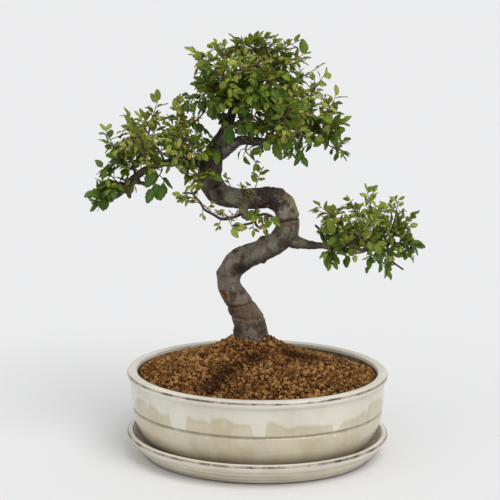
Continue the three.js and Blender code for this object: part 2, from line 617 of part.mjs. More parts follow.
// The points and faces of a sheet with its thickness: upper and lower side split alike, and a wall along
// every open edge
function facesOf({ corners, triangles }) {
  const points = [];
  const upper = [];
  const lower = [];
  for (const { place, normal, half } of corners) {
    upper.push(points.push(place.clone().addScaledVector(normal, half)) - 1);
    lower.push(half ? points.push(place.clone().addScaledVector(normal, -half)) - 1 : points.length - 1);
  }
  const edges = new Set(triangles.flatMap(([a, b, c]) => [`${a} ${b}`, `${b} ${c}`, `${c} ${a}`]));
  const faces = [];
  for (const [a, b, c] of triangles) {
    faces.push([upper[a], upper[b], upper[c]], [lower[a], lower[c], lower[b]]);
    for (const [from, to] of [[a, b], [b, c], [c, a]]) {
      if (edges.has(`${to} ${from}`)) continue;
      faces.push([lower[from], lower[to], upper[to]], [lower[from], upper[to], upper[from]]);
    }
  }
  return { points, faces: faces.filter((face) => new Set(face).size === 3) };
}

function thicken(sheet) {
  const { points, faces } = facesOf(sheet);
  return solidOf(points, faces);
}

// Whether the straight line between two points passes through a triangle
function pierces(from, to, [a, b, c]) {
  const length = from.distanceTo(to);
  const ray = new THREE.Ray(from, to.clone().sub(from).divideScalar(length));
  const hit = ray.intersectTriangle(a, b, c, false, new THREE.Vector3());
  return hit !== null && hit.distanceTo(from) < length;
}

function edgesPierce(one, other) {
  return [[0, 1], [1, 2], [2, 0]].some(([i, j]) => {
    const isShared = other.face.includes(one.face[i]) || other.face.includes(one.face[j]);
    return !isShared && pierces(one.places[i], one.places[j], other.places);
  });
}

function facesCross(one, other) {
  return one.box.intersectsBox(other.box) && (edgesPierce(one, other) || edgesPierce(other, one));
}

// Whether a face of the sheet with a point numbered from `first` on crosses another of its faces
function crossesItself(sheet, first) {
  const { points, faces } = facesOf(sheet);
  const placed = faces.map((face) => {
    const places = face.map((i) => points[i]);
    return { face, places, box: new THREE.Box3().setFromPoints(places) };
  });
  const added = placed.filter(({ face }) => face.some((i) => i >= first));
  return added.some((one) => placed.some((other) => one !== other && facesCross(one, other)));
}

// Adds to a sheet by the function given, and takes it off again where the sheet would cross itself
function addUncrossed(sheet, add) {
  const { corners, triangles } = sheet;
  const [cornerCount, triangleCount] = [corners.length, triangles.length];
  const first = facesOf(sheet).points.length;
  add();
  const isClear = !crossesItself(sheet, first);
  if (!isClear) {
    corners.length = cornerCount;
    triangles.length = triangleCount;
  }
  return isClear;
}

// What stands already, so that nothing of another owner crosses it
const standing = [];

function stand(solid, owner) {
  standing.push({ solid, owner, box: solid.boundingBox() });
  return solid;
}

function isFree(solid, owner) {
  const { min, max } = solid.boundingBox();
  return standing.every(({ solid: other, owner: otherOwner, box }) => {
    const apart = [0, 1, 2].some((k) => box.min[k] > max[k] || box.max[k] < min[k]);
    return apart || (owner && owner === otherOwner) || other.intersect(solid).isEmpty();
  });
}

function loneLeaf(leaf, extra) {
  const sheet = newSheet();
  addLeaf(sheet, null, leaf, extra);
  return thicken(sheet);
}

// Puts a leaf on its spray, rolled about its own length or lifted as far as it takes to clear what stands
function placeLeaf({ name, sheet }, edge, leaf) {
  for (const roll of LEAF_ROLLS) {
    for (const lift of LEAF_LIFTS) {
      const across = new THREE.Vector3().crossVectors(leaf.along, leaf.normal);
      const along = leaf.along.clone().applyAxisAngle(across, lift);
      const normal = leaf.normal.clone().applyAxisAngle(across, lift).applyAxisAngle(along, roll);
      const turned = { ...leaf, along, normal };
      if (!isFree(loneLeaf(turned, LEAF_CLEARANCE), name)) continue;
      if (!addUncrossed(sheet, () => addLeaf(sheet, edge, turned))) continue;
      stand(loneLeaf(turned, 0), name);
      return;
    }
  }
}

// A thin tube round a shoot, from a share of its length on
function shootCore({ stations }, from, radius) {
  const start = stations[0].clone().lerp(stations[1], from);
  return tubeSolid([start, ...stations.slice(1)].map(({ x, y, z }) => [x, y, z, radius]), 3);
}

// The stem's strip, with a short step where each shoot leaves it, which becomes the shoot's first edge
function layStem({ sheet, stem, lean, shoots }) {
  const last = stem.length - 1;
  const perLength = last / limbLength(stem);
  const stops = [{ place: 0 }, { place: last }];
  for (const shoot of shoots.filter(({ turn }) => turn)) {
    const half = limbPoint(stem, shoot.place)[3] * perLength;
    stops.push({ place: shoot.place - half }, { place: shoot.place + half, shoot });
  }
  for (let place = 1; place < last; place++) {
    if (stops.every((stop) => Math.abs(stop.place - place) > 0.5)) stops.push({ place });
  }
  stops.sort((one, other) => one.place - other.place);
  let edge = null;
  for (const { place, shoot } of stops) {
    const [x, y, z, radius] = limbPoint(stem, place);
    const [forward, face] = [limbDirection(stem, place), stemFace(stem, lean, place)];
    const next = addStation(sheet, edge, new THREE.Vector3(x, y, z), forward, face, 2 * radius);
    if (shoot) shoot.edge = sideEdge(edge, next, shoot.turn);
    edge = next;
  }
  shoots.find(({ turn }) => !turn).edge = edge;
}

// A shoot's strip, whose steps' outer sides become its leaves' first edges
function layShoot(sheet, shoot) {
  let last = shoot.edge;
  shoot.stations.slice(1).forEach((place, j) => {
    const next = addStation(sheet, last, place, shoot.direction, shoot.normal, 2 * TWIG_RADIUS);
    shoot.leaves[j].edge = sideEdge(last, next, shoot.leaves[j].turn);
    last = next;
  });
  shoot.leaves.at(-1).edge = last;
}

// A shoot with its leaves, swung about the stem or, at the stem's end, to one side
function swingShoot(shoot, angle) {
  const start = shoot.stations[0];
  const swing = (way) => way.clone().applyAxisAngle(shoot.axis, angle);
  const move = (point) => swing(point.clone().sub(start)).add(start);
  const leaves = shoot.leaves.map(({ foot, along, normal, ...leaf }) => {
    return { ...leaf, foot: move(foot), along: swing(along), normal: swing(normal) };
  });
  const stations = shoot.stations.map(move);
  return { ...shoot, stations, direction: swing(shoot.direction), normal: swing(shoot.normal), leaves };
}

// Puts a shoot on its spray, swung as far as it takes to clear what stands, or gives null
function placeShoot({ name, sheet }, shoot) {
  for (const angle of SHOOT_SWINGS) {
    const swung = swingShoot(shoot, angle);
    if (!isFree(shootCore(swung, 0.3, TWIG_RADIUS + 2 * LEAF_CLEARANCE), name)) continue;
    if (!addUncrossed(sheet, () => layShoot(sheet, swung))) continue;
    stand(shootCore(swung, 0, TWIG_RADIUS), name);
    return swung;
  }
  return null;
}

function makeSprays() {
  const stems = { ...LIMBS };
  const sprays = SPRAYS.map(([name, parent, place, ...path], index) => {
    stems[name] = growStem(stems[parent], parent in LIMBS, place, path);
    return { name: `spray_${name}`, sheet: newSheet(), ...growSpray(stems[name], index) };
  });
  for (const spray of sprays) {
    spray.shoots = spray.shoots.filter(({ kept }) => kept);
    layStem(spray);
    stand(thicken(spray.sheet), spray.name);
  }
  for (const spray of sprays) {
    spray.shoots = spray.shoots.map((shoot) => placeShoot(spray, shoot)).filter(Boolean);
  }
  for (const spray of sprays) {
    for (const { leaves } of spray.shoots) {
      for (const leaf of leaves) placeLeaf(spray, leaf.edge, leaf);
    }
  }
  return sprays;
}

const bonsai = new THREE.Group();
bonsai.add(piece('saucer', makeSaucer(), glaze));
bonsai.add(piece('pot', makePot(), glaze));
bonsai.add(piece('drain_mesh_left', makeDrainMesh(-HOLE_PLACE), plastic));
bonsai.add(piece('drain_mesh_right', makeDrainMesh(HOLE_PLACE), plastic));
bonsai.add(piece('soil', stand(makeSoil()), granules));
const limbs = Object.values(LIMBS).map((limb) => stand(limbSolid(limb)));
bonsai.add(piece('wood', limbs.reduce((sum, limb) => sum.add(limb)), bark));
for (const spray of makeSprays()) {
  bonsai.add(piece(spray.name, thicken(spray.sheet), leafGreen));
}

export default bonsai;
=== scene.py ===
# A Chinese elm bonsai in its oval pot, on its saucer: the finished surfaces around the fixed frame
import math
from collections import namedtuple

import bpy
import numpy as np
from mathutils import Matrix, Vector, noise


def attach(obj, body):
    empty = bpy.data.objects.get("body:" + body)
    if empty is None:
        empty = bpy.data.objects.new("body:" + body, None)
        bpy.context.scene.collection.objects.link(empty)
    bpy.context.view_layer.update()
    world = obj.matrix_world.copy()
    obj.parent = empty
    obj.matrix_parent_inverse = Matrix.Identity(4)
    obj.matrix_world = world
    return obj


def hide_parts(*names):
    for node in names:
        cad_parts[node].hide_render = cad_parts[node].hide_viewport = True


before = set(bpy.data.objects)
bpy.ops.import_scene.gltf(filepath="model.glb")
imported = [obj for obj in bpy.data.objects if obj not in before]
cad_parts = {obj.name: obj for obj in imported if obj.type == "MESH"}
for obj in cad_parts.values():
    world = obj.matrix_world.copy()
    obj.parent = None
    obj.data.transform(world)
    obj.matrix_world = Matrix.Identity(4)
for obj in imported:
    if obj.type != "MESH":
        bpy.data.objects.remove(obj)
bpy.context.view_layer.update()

MM = 0.001

# Saucer, half lengths along X and heights in millimetres, as in the solids
SAUCER_DRAWN_IN = 20.3
SAUCER_RIM = 108.6
SAUCER_FOOT = 94
SAUCER_TOP = 20
SAUCER_FLOOR = 5.5
SAUCER_WALL = 6

# Pot
POT_DRAWN_IN = 21
POT_RIM = 108
POT_TOP = 72
POT_LIP = 9.2
POT_LIP_HEIGHT = 6.5
POT_UNDER_LIP = 105.6
POT_GROOVE = 103.6
POT_GROOVE_HEIGHT = 41
POT_GROOVE_DEPTH = 1.6
POT_FOOT = 84
POT_UNDERSIDE = 8.5
POT_FLOOR = 15
POT_WALL = 6.5
FOOT_RADIUS = 9
FOOT_PLACES = [(-54, -36), (54, -36), (-54, 36), (54, 36)]
HOLE_RADIUS = 7
HOLE_PLACE = 38
OVAL_CORE = 60
OVAL_SIDES = 144
TURNED_SIDES = 28
WAVER = 0.0025
ROUNDING_STEPS = 4

# Soil
SOIL_EDGE = 67
SOIL_HEAP = 16.8
SOIL_COLLAR = 15.5
SOIL_COLLAR_REACH = 25
# A shallow sink in the soil: its middle, depth and reach
SOIL_SINK = (62, 44, 3, 34)
# Dark damp places on the soil: the middle and the reach
DAMP_PLACES = [
    (-31, -59, 8), (-26, -48, 9), (-20, -37, 8), (-13, -27, 5), (1, -15, 8), (28, 3, 10), (37, 5, 11),
    (46, 8, 9),
]
SOIL_BED = 1.6
SOIL_BED_SIDES = 96
SOIL_BED_RINGS = 34
SOIL_ROUGHNESS = 1.4
SOIL_BOTTOM = 16.6
GRANULE_SEED = 7
GRAIN_SPACING = 2.6
GRAIN_RADIUS = 1.5
CRUMBS = 4600
LOW_TONE = 0.55
TRUNK_CLEARANCE = 12.5

# The tree's limbs, each a smooth path through points of [x, y, z, radius]
LIMBS = {
    "trunk": [
        [-4, 23, 62, 10], [-6, 22, 80, 13.5], [-8, 22, 93, 16.2], [-9, 22, 106, 13.4],
        [-17, 21, 121, 11.6], [-25, 19, 137, 10], [-24, 18, 149, 10.6], [-16, 16, 159, 11],
        [-1, 12, 167, 9.6], [15, 9, 176, 9.4], [24, 8, 189, 9.7], [22, 10, 205, 9.3], [12, 14, 212, 9.6],
        [-5, 19, 210.5, 8.7], [-21, 22, 210, 8.6], [-34, 23, 214, 9.6], [-41.5, 22, 226, 10.2],
        [-40, 21, 240, 9.4], [-36, 20, 253, 6.3], [-29, 18, 264, 5], [-24, 17, 276, 3.9],
        [-20, 19, 288, 3.4], [-13, 21, 304, 2.7], [-10, 20, 316, 2.1], [-7, 18, 328, 1.4],
    ],
    "right": [
        [-38, 21, 243, 5], [-27, 18, 250, 4.8], [-16, 13, 259, 4], [-3, 7, 260, 3.6], [9, 4, 260, 3.3],
        [23, 5, 265, 2.8], [36, 8, 266, 2.3], [47, 8, 262, 1.7], [56, 6, 258, 1.1],
    ],
    "left": [
        [-41, 21, 242, 6], [-54, 17, 240, 4.3], [-66, 14, 241, 3.6], [-80, 11, 239, 3],
        [-92, 9, 235, 2.8], [-101, 8, 228, 3.4], [-108, 8, 220, 3.3], [-114, 8, 214, 2.4],
        [-121, 7, 210, 1.5],
    ],
    "low": [
        [20, 9, 182, 6], [29, 8, 178, 5], [45, 4, 176, 3.2], [60, 1, 176, 2.8], [78, 1, 172.5, 2.3],
        [91, 4, 175, 2], [104, 4, 178.5, 1.5], [113, 3, 180, 1.1],
    ],
    "low_bare": [[95, 4, 176, 1.2], [106, 1, 167, 0.9], [118, -1, 159, 0.7]],
    "low_stub": [[57, 2, 176, 1.5], [51, 0, 189, 1.1], [47, -2, 194, 0.9]],
    "loop_twig": [
        [16, 6, 189, 1.6], [14, 0, 198, 1.3], [7, -1, 202, 1.2], [-1, -1, 200, 1.1], [-4, -1, 195, 1],
        [-11, -1, 193, 1], [-20, -1, 192, 0.9],
    ],
    "drop_twig": [
        [-1, 13, 206, 1.6], [-1.5, 5, 203, 1.4], [-2, 1, 198, 1.2], [-1, 0, 193, 1.1], [3, -2, 190, 0.8],
    ],
    "trail_twig": [
        [-11, 18, 203, 1.7], [-15, 9, 199, 1.3], [-28, 4, 196, 1.2], [-36, 3, 200, 1.1], [-43, 2, 204, 1],
        [-46, 2, 209, 1], [-49, 2, 213, 0.9],
    ],
    "cut_stub": [[-46, 17, 242, 3.4], [-60, 8, 237, 2.8]],
    "knot": [[-34, 19, 217, 6], [-31, 9.5, 217, 4.2]],
    "knob": [[-13, 17, 208, 4.4], [-12, 10, 201, 3.8], [-10.5, 7.5, 197, 3]],
    "spur_near": [[2, 6, 260, 1.6], [4, 3, 252, 1]],
    "spur_mid": [[10, 4, 261, 1.5], [9, 1, 254, 1]],
    "dead_wood": [[-104, 8, 226, 3.2], [-106, 7, 218, 2.8], [-105, 7, 211, 1.4]],
    "dead_arm": [[-102, 8, 226, 2.8], [-92, 5, 223, 1.5]],
}
# Limbs too thin to be grown together with the others
THIN_LIMBS = ["low_bare", "low_stub", "loop_twig", "drop_twig", "trail_twig", "spur_near", "spur_mid"]
BARK_VOXEL = 0.85

# Lumps and hollows of the trunk and limbs: a point on the bark, the reach and the height, in millimetres
BARK_KNOBS = [
    (-19.4, 10.7, 168, 3, 2), (-34, 13.9, 149.5, 3.5, 1.7), (2.7, 12, 180, 4, 2.6),
    (4.6, 10, 158.9, 2.2, 2.4), (-25, 14, 103, 4.5, 3.2), (6, 12, 107, 4, 3), (2.4, 12, 101, 4, 1.6),
    (-18, 10, 99, 4, -2), (-8, 7, 107, 4, 1.3), (-3, 9, 104, 3, -1), (-24, 18, 94, 6, -3),
    (8, 18, 93, 6, -3), (-33, 12, 217, 8, 1.4), (-32, 8.5, 216.6, 2.6, -4), (-30.8, 11.9, 132.3, 5, 1.3),
    (-30.8, 11.5, 131.6, 2.6, -2), (-14, 7, 155, 4, -1.2), (11.4, 5, 208.4, 5, -1.6),
    (2, 9, 212, 4, -1.4), (5, 8, 219, 3, 1.6), (12, 10, 221, 3, 1.8), (19, 12, 221, 3, 1.4),
    (-2, 11, 205, 3, 1.2), (30, 8, 181, 5, 1.6), (19, 1.5, 207.7, 4, 1.4), (-10, 14, 137, 3, 1.1),
    (-20, 10, 143, 3, 0.9), (-109, 5, 220, 2.2, 1.8), (-104, 3, 216, 2, 1.6), (-101, 5, 221, 2, -1.6),
    (-107, 5, 213, 1.8, 1.4), (-98, 4, 226, 2.2, 1.5), (-93, 7, 224, 1.6, 1.2), (-111, 5, 213, 2, -1.4),
    (-15.5, 7, 203, 2.4, 1.6), (-8.5, 6, 200, 2.2, 1.5), (-13, 5, 198, 2, 0.9), (-42, 13, 226, 4, 1.3),
    (-38, 12, 236, 4, -1.2), (26, 0, 202, 4, 0.9), (-12.2, 5.1, 164.7, 2, 0.9),
]
# Where the bark is rough and cracked: a point and the reach
ROUGH_BARK = [(-103, 7, 219, 12), (8, 8, 213, 15), (-10, 14, 95, 11), (-40, 18, 212, 9), (3, 14, 105, 7)]
# Rings drawn into the trunk: a point on its middle line, the way that line runs, and the depth
BARK_RINGS = [
    ((24, 8, 196), (-0.17, 0.11, 0.98), 1.3), ((24, 8, 192.6), (-0.17, 0.11, 0.98), 0.5),
    ((-15, 21, 121.5), (-0.25, 0, 0.97), 0.9), ((-10, 21, 110.5), (0, 0, 1), 1),
    ((-28, 20, 213), (1, 0.2, 0.2), 0.5),
]
# Lines of colour round the trunk: a point, the way across the line, its half width, how far it runs,
# the colour and its share
BARK_LINES = [
    ((24, 3, 196.4), (-0.17, 0.11, 0.98), 0.9, 15, (0.010, 0.008, 0.006), 0.95),
    ((26, 2, 193), (-0.17, 0.11, 0.98), 0.5, 12, (0.17, 0.030, 0.014), 0.7),
    ((-13, 11, 122.3), (-0.25, 0, 0.97), 0.8, 12, (0.070, 0.036, 0.018), 0.65),
    ((-6, 10, 110.6), (0.03, 0, 1), 1.3, 14, (0.17, 0.090, 0.038), 0.4),
    ((-12, 10, 107.6), (0.1, 0, 1), 0.6, 10, (0.03, 0.018, 0.012), 0.5),
]
# Colours on the bark: a point, the reach in millimetres, the colour and its share
MARK_DEPTH = 0.5
BLACKISH = (0.011, 0.008, 0.006)
DARK_BROWN = (0.040, 0.026, 0.017)
RED_BROWN = (0.120, 0.036, 0.016)
TAN = (0.21, 0.12, 0.05)
LICHEN = (0.30, 0.245, 0.095)
PALE_GREY = (0.275, 0.255, 0.205)
GREENISH = (0.145, 0.155, 0.075)
FOOT_BROWN = (0.135, 0.085, 0.046)
SCAR_EDGE = (0.27, 0.13, 0.05)
SCAR_RED = (0.15, 0.042, 0.018)
SCAR_HEART = (0.035, 0.012, 0.008)
KNOB_GREY = (0.25, 0.18, 0.14)
CUT_WOOD = (0.50, 0.38, 0.26)
SAWN_END = (0.44, 0.25, 0.11)
LEADER_GREY = (0.25, 0.235, 0.19)
DEAD_RED = (0.15, 0.07, 0.035)
DEAD_BROWN = (0.13, 0.075, 0.045)
BARK_MARKS = [
    ((-9, 9, 110), 16, FOOT_BROWN, 0.6), ((-14, 10, 121), 12, FOOT_BROWN, 0.5),
    ((-6.6, 6.5, 101), 6, PALE_GREY, 0.3), ((-18, 9.4, 99), 5, BLACKISH, 0.6),
    ((-24, 14, 98), 4, BLACKISH, 0.7), ((-22, 12, 104), 4, TAN, 0.7),
    ((2.6, 13, 107.4), 4, DARK_BROWN, 0.7), ((6, 13, 101), 4.5, RED_BROWN, 0.7),
    ((4, 10, 111), 4, TAN, 0.6), ((-2.7, 9, 104.6), 3, DARK_BROWN, 0.6),
    ((-12, 8, 106), 3, PALE_GREY, 0.4), ((-23, 12.1, 116.8), 3.5, DARK_BROWN, 0.75),
    ((-20, 11, 121), 4, RED_BROWN, 0.5), ((-2, 16, 118), 5, TAN, 0.6),
    ((-14, 11, 127), 6, PALE_GREY, 0.45), ((-20.2, 9.8, 132.1), 2, DARK_BROWN, 0.8),
    ((-13.9, 13.3, 132.2), 2.5, DARK_BROWN, 0.8), ((-29, 11, 134.5), 4.2, SCAR_EDGE, 0.9),
    ((-28, 11, 130.5), 4.4, SCAR_EDGE, 0.9), ((-28.7, 11, 134), 3, SCAR_RED, 0.95),
    ((-28.2, 11, 130.8), 3.2, SCAR_RED, 0.95), ((-28.4, 11, 132), 1.9, SCAR_HEART, 0.95),
    ((-24, 9, 141), 8, PALE_GREY, 0.4), ((-14, 8, 143), 4, PALE_GREY, 0.4),
    ((-34, 13.9, 149.4), 3, DARK_BROWN, 0.7), ((-26, 8, 153), 6, PALE_GREY, 0.25),
    ((-14, 6.9, 155), 6.5, BLACKISH, 0.75), ((-9, 9, 151), 5, DARK_BROWN, 0.85),
    ((-12.2, 5.1, 164.7), 2.6, DARK_BROWN, 0.9), ((-19.4, 10.7, 168.2), 3.2, DARK_BROWN, 0.85),
    ((2.7, 12, 180.2), 4.5, RED_BROWN, 0.8), ((4.6, 10.1, 158.9), 3.2, RED_BROWN, 0.85),
    ((0, 4, 172), 9, PALE_GREY, 0.4), ((13, 1, 180), 6, PALE_GREY, 0.4),
    ((22, -1, 186), 5, GREENISH, 0.5), ((32, 2.9, 187.1), 6, GREENISH, 0.75),
    ((24, 0, 178), 4, DARK_BROWN, 0.5), ((30.7, 7.2, 207.6), 7, LICHEN, 0.8),
    ((25.7, 8.2, 214.7), 6, LICHEN, 0.65), ((30, 2, 201), 4, LICHEN, 0.5),
    ((20.8, 0.3, 202.2), 5, PALE_GREY, 0.75), ((15.5, 3.5, 198.5), 4, PALE_GREY, 0.6),
    ((28, 3, 205), 2.5, BLACKISH, 0.7), ((22, 4, 211), 3, BLACKISH, 0.75),
    ((25, 2, 209), 2, DARK_BROWN, 0.8), ((2.8, 10.4, 217.9), 7, DARK_BROWN, 0.85),
    ((8, 6.4, 213.9), 7, BLACKISH, 0.85), ((13.1, 4.1, 208.7), 6.5, BLACKISH, 0.9),
    ((-0.5, 10.5, 206.3), 6, BLACKISH, 0.75), ((9.1, 11.8, 221.1), 7, DARK_BROWN, 0.8),
    ((3, 8, 210), 4, RED_BROWN, 0.6), ((-21.3, 14.3, 213.4), 9, PALE_GREY, 0.85),
    ((-13, 12, 209), 6, GREENISH, 0.45), ((-26.2, 18, 203), 7, DARK_BROWN, 0.6),
    ((-37, 19, 205), 7, DARK_BROWN, 0.8), ((-44.3, 19, 209), 6, RED_BROWN, 0.6),
    ((-36.7, 11, 223.2), 6.5, DARK_BROWN, 0.9), ((-32, 8.5, 216.6), 5.5, DARK_BROWN, 0.85),
    ((-32, 9.5, 216.6), 3.2, BLACKISH, 0.98), ((-44.1, 12.7, 222.3), 4, PALE_GREY, 0.4),
    ((-12, 8, 202), 6, KNOB_GREY, 0.85), ((-13, 6, 199.5), 1.6, DARK_BROWN, 0.8),
    ((-10, 6, 195), 3, CUT_WOOD, 0.95), ((-8, 6, 203), 2, RED_BROWN, 0.6),
    ((-61, 7, 236.8), 3.4, SAWN_END, 0.9), ((-24, 12, 253), 11, LEADER_GREY, 0.85),
    ((-104, 6, 216), 10, DEAD_RED, 0.8), ((-96, 6, 234), 8, DEAD_BROWN, 0.6),
    ((45, 2, 176), 10, DARK_BROWN, 0.7), ((36, 3, 177), 5, GREENISH, 0.5),
]

# The leafy sprays: the limb or earlier spray that each grows from, how far along it, counted in its points,
# and the points that its branchlet runs through
SPRAYS = [
    ["apex", "trunk", 24, [-1, 16, 335]],
    ["crown_top_left", "trunk", 23.4, [-14, 12, 329], [-16, 8, 335]],
    ["crown_upper_left", "trunk", 22.6, [-18, 15, 313], [-28, 12, 317], [-37, 12, 319], [-45, 15, 324]],
    ["crown_shoulder_left", "crown_upper_left", 2, [-29, 6, 330]],
    ["crown_upper_right", "trunk", 23.2, [2, 14, 328], [11, 12, 331], [21, 12, 335]],
    ["crown_front", "trunk", 21.7, [-16, 5, 305], [-13, -10, 315], [-3, -18, 322], [8, -25, 328]],
    ["crown_front_left", "crown_front", 2, [-24, -22, 318]],
    ["crown_left", "trunk", 21, [-32, 12, 293], [-40, 8, 289], [-45, 5, 281], [-52, 2, 274], [-60, -2, 270]],
    ["crown_left_front", "crown_left", 1.3, [-38, -6, 306]],
    ["crown_left_up", "crown_left", 2.5, [-52, 6, 294]],
    ["crown_low_front", "crown_left", 0.5, [-23, -4, 298]],
    ["crown_back", "trunk", 21.6, [-12, 38, 304], [-5, 47, 311], [3, 54, 326]],
    ["crown_back_left", "trunk", 21.3, [-28, 35, 299], [-36, 41, 305], [-46, 45, 316]],
    ["crown_right", "trunk", 22, [-3, 20, 303], [18, 20, 304], [28, 22, 307], [37, 23, 312]],
    ["crown_front_mid", "crown_right", 1.3, [10, -12, 312]],
    ["crown_shoulder_right", "crown_right", 2.6, [28, 12, 325]],
    ["crown_hanging", "crown_right", 2.3, [18, 0, 292]],
    ["crown_back_right", "crown_right", 1.8, [22, 45, 318]],
    ["right_up", "right", 5.2, [31, 10, 274], [36, 12, 285], [40, 13, 295], [46, 14, 304]],
    ["right_up_side", "right_up", 2, [26, -4, 290]],
    ["right_out", "right", 6, [45, 14, 271], [53, 16, 279], [57, 15, 287]],
    ["right_tip", "right", 7, [54, 12, 267], [60, 12, 271]],
    ["right_end", "right", 8, [62, 3, 256]],
    ["right_hanging", "right", 5.8, [32, -4, 256]],
    ["right_front", "right", 4, [15, -10, 272], [23, -22, 283], [28, -31, 292]],
    ["right_hook", "right", 4.9, [14, 0, 272], [4, -4, 275], [-3, -6, 281], [-3, -7, 289], [2, -11, 298]],
    ["right_back", "right", 4.7, [23, 20, 269], [28, 34, 275], [33, 44, 282], [38, 51, 290]],
    ["left_up", "left", 3.3, [-87, 8, 249], [-89, 8, 260], [-88, 9, 271], [-85, 8, 280]],
    ["left_up_side", "left_up", 2.5, [-101, 2, 270]],
    ["left_near_up", "left", 2.4, [-68, 12, 251], [-66, 12, 262], [-66, 10, 278]],
    ["left_far_up", "left", 4.7, [-108, 10, 237], [-114, 10, 245], [-121, 9, 259]],
    ["left_far", "left", 5.9, [-114, 8, 223], [-121, 8, 230]],
    ["left_low", "left_far", 1, [-123, 0, 219]],
    ["left_end", "left", 8, [-123, 6, 212]],
    ["left_front", "left", 3.6, [-89, -6, 249], [-90, -16, 261], [-93, -24, 270]],
    ["left_hanging", "left", 3, [-80, 0, 231]],
    ["left_near_front", "left", 1.9, [-60, 0, 251], [-57, -10, 260], [-58, -18, 267]],
    ["left_back", "left", 2.8, [-85, 28, 248], [-93, 38, 256], [-99, 44, 265]],
    ["low_near", "low", 3.3, [66, -2, 187], [65, -4, 198], [58, -5, 204.5]],
    ["low_mid", "low", 4, [80, 2, 185], [82, 3, 197], [77, 3, 208.5]],
    ["low_far", "low", 5.1, [94, 5, 187], [93, 6, 199], [90, 8, 211]],
    ["low_out", "low", 6, [107, 6, 189], [110, 6, 198], [112, 5, 209]],
    ["low_out_side", "low_out", 1.6, [116, 1, 194]],
    ["low_end", "low", 7, [117, 2, 178]],
    ["low_hanging", "low", 3.1, [62, -8, 173]],
    ["low_down", "low", 4.9, [94, -3, 170], [99, -6, 166]],
    ["low_front", "low", 3.6, [79, -14, 185], [92, -30, 203]],
    ["low_back", "low", 4.4, [89, 18, 180], [101, 33, 197]],
    ["trail_end", "trail_twig", 6, [-52, 1, 214]],
    ["trail_side", "trail_twig", 2, [-23, -4, 200]],
    ["loop_side", "loop_twig", 2.4, [5, -8, 197]],
    ["trunk_front", "trunk", 13.3, [-10, 2, 222]],
    ["right_under", "right", 2.6, [-4, 0, 247]],
    ["trunk_left", "trunk", 16.4, [-46, 3, 229]],
]
# Shoots and leaves, with lengths in millimetres
SIDE_SHOOTS = 6
SIDE_SHOOT_LEAVES = 2
END_SHOOT_LEAVES = 3
FRESH_SHOOTS = 5
FRESH_SHOOT_LEAVES = 4
# The shoots of a spray that grow even in deep shade
KEPT_SHOOTS = (2, 5, SIDE_SHOOTS)
TWIG_RADIUS = 0.5
SHOOT_RADII = (0.42, 0.26)
STEM_TAPER = 0.025
STEM_RADIUS = 1.2
ROOT_GAP = 0.5
LEAF_LENGTH = 12
LEAF_SPACING = 0.28
LEAF_ARCH = 0.16
LEAF_GRID = (10, 5)
SMALL_LEAF_GRID = (8, 3)
SMALL_LEAF = 9
STALK_HALF = 0.3
STALK_THICKNESS = 0.22
BLADE_THICKNESS = 0.13
TOOTH_DEPTH = 0.13
TOOTH_REACH = 0.024
YELLOW_SHARE = 0.025
LEAF_RIBS = 9
# How the leaves differ: the least and the greatest share of length, breadth, fold, arch and wave, and the
# usual twist in radians
SCALE_RANGE = (0.75, 1.12)
BREADTH_RANGE = (0.86, 1.14)
FOLD_RANGE = (0.05, 0.42)
ARCH_RANGE = (0.3, 1.9)
WAVE_RANGE = (0, 0.06)
USUAL_TWIST = 0.25

# Corners round the tubes of the wood, and the steps along them in millimetres
TRUNK_SIDES = 40
LIMB_SIDES = 20
LIMB_STEP = 1.5
THIN_LIMB_SIDES = 8
STEM_SIDES = 6
STEM_STEP = 2
SHOOT_SIDES = 5
NEAREST_WOOD_STEP = 4
# The rounded end of a tube: how far it stands out and how wide it ends, as shares of the radius
END_RISE = 0.4
END_SHARE = 0.6

# Seeds of the repeatable draws. A spray's or a dome's number is added to the first four.
SPRAY_SEED = 2
FRESH_SEED = 1000
DOME_SEED = 2000
THINNING_SEED = 3000
LONE_SEED = 4000
LEAF_SEED = 11

# The pads of foliage and their middles, which the leaves face away from
PADS = {
    "crown": (-8, 16, 302),
    "right": (34, 8, 272),
    "left": (-88, 8, 242),
    "low": (88, 2, 184),
    "trail": (-30, 8, 190),
}
# Where deep shade begins, how far leaves face up and outward, and how much longer they grow in shade
DEEP_SHADE = -0.4
UPWARD = 0.4
OUTWARD = 0.8
SHADE_GROWTH = 0.3

# The size of the leaves in each pad, beside those of the solids
LEAF_SIZES = {"crown": 0.97, "right": 0.93, "left": 1, "low": 0.92, "trail": 1}
# Sprays that grow otherwise than the rest: the share of leaves kept, the size of them and the number of
# fresh shoots
SPRAY_HABITS = {
    "trail_end": (0.6, 0.8, 0), "trail_side": (0.6, 0.6, 0), "loop_side": (0.6, 0.6, 0),
    "trunk_front": (0.6, 0.75, 0), "right_under": (0.6, 0.8, 0), "trunk_left": (1, 1.05, 2),
    "left_hanging": (0.6, 1.15, 0), "right_hanging": (0.5, 0.8, 1), "right_end": (0.6, 0.75, 2),
    "low_hanging": (0.3, 0.9, 1), "low_down": (0.6, 0.95, 1), "crown_left": (0.75, 0.85, 3),
    "crown_left_up": (0.75, 0.8, 3), "left_end": (0.9, 0.85, 6), "left_low": (0.85, 0.85, 6),
    "left_far": (0.9, 0.85, 5), "low_near": (0.9, 0.9, 4), "low_mid": (0.9, 0.85, 4),
    "low_out": (0.9, 0.9, 4), "crown_hanging": (0.9, 1.35, 4), "crown_low_front": (0.9, 1.3, 3),
    "right_front": (0.9, 1.2, 4),
}

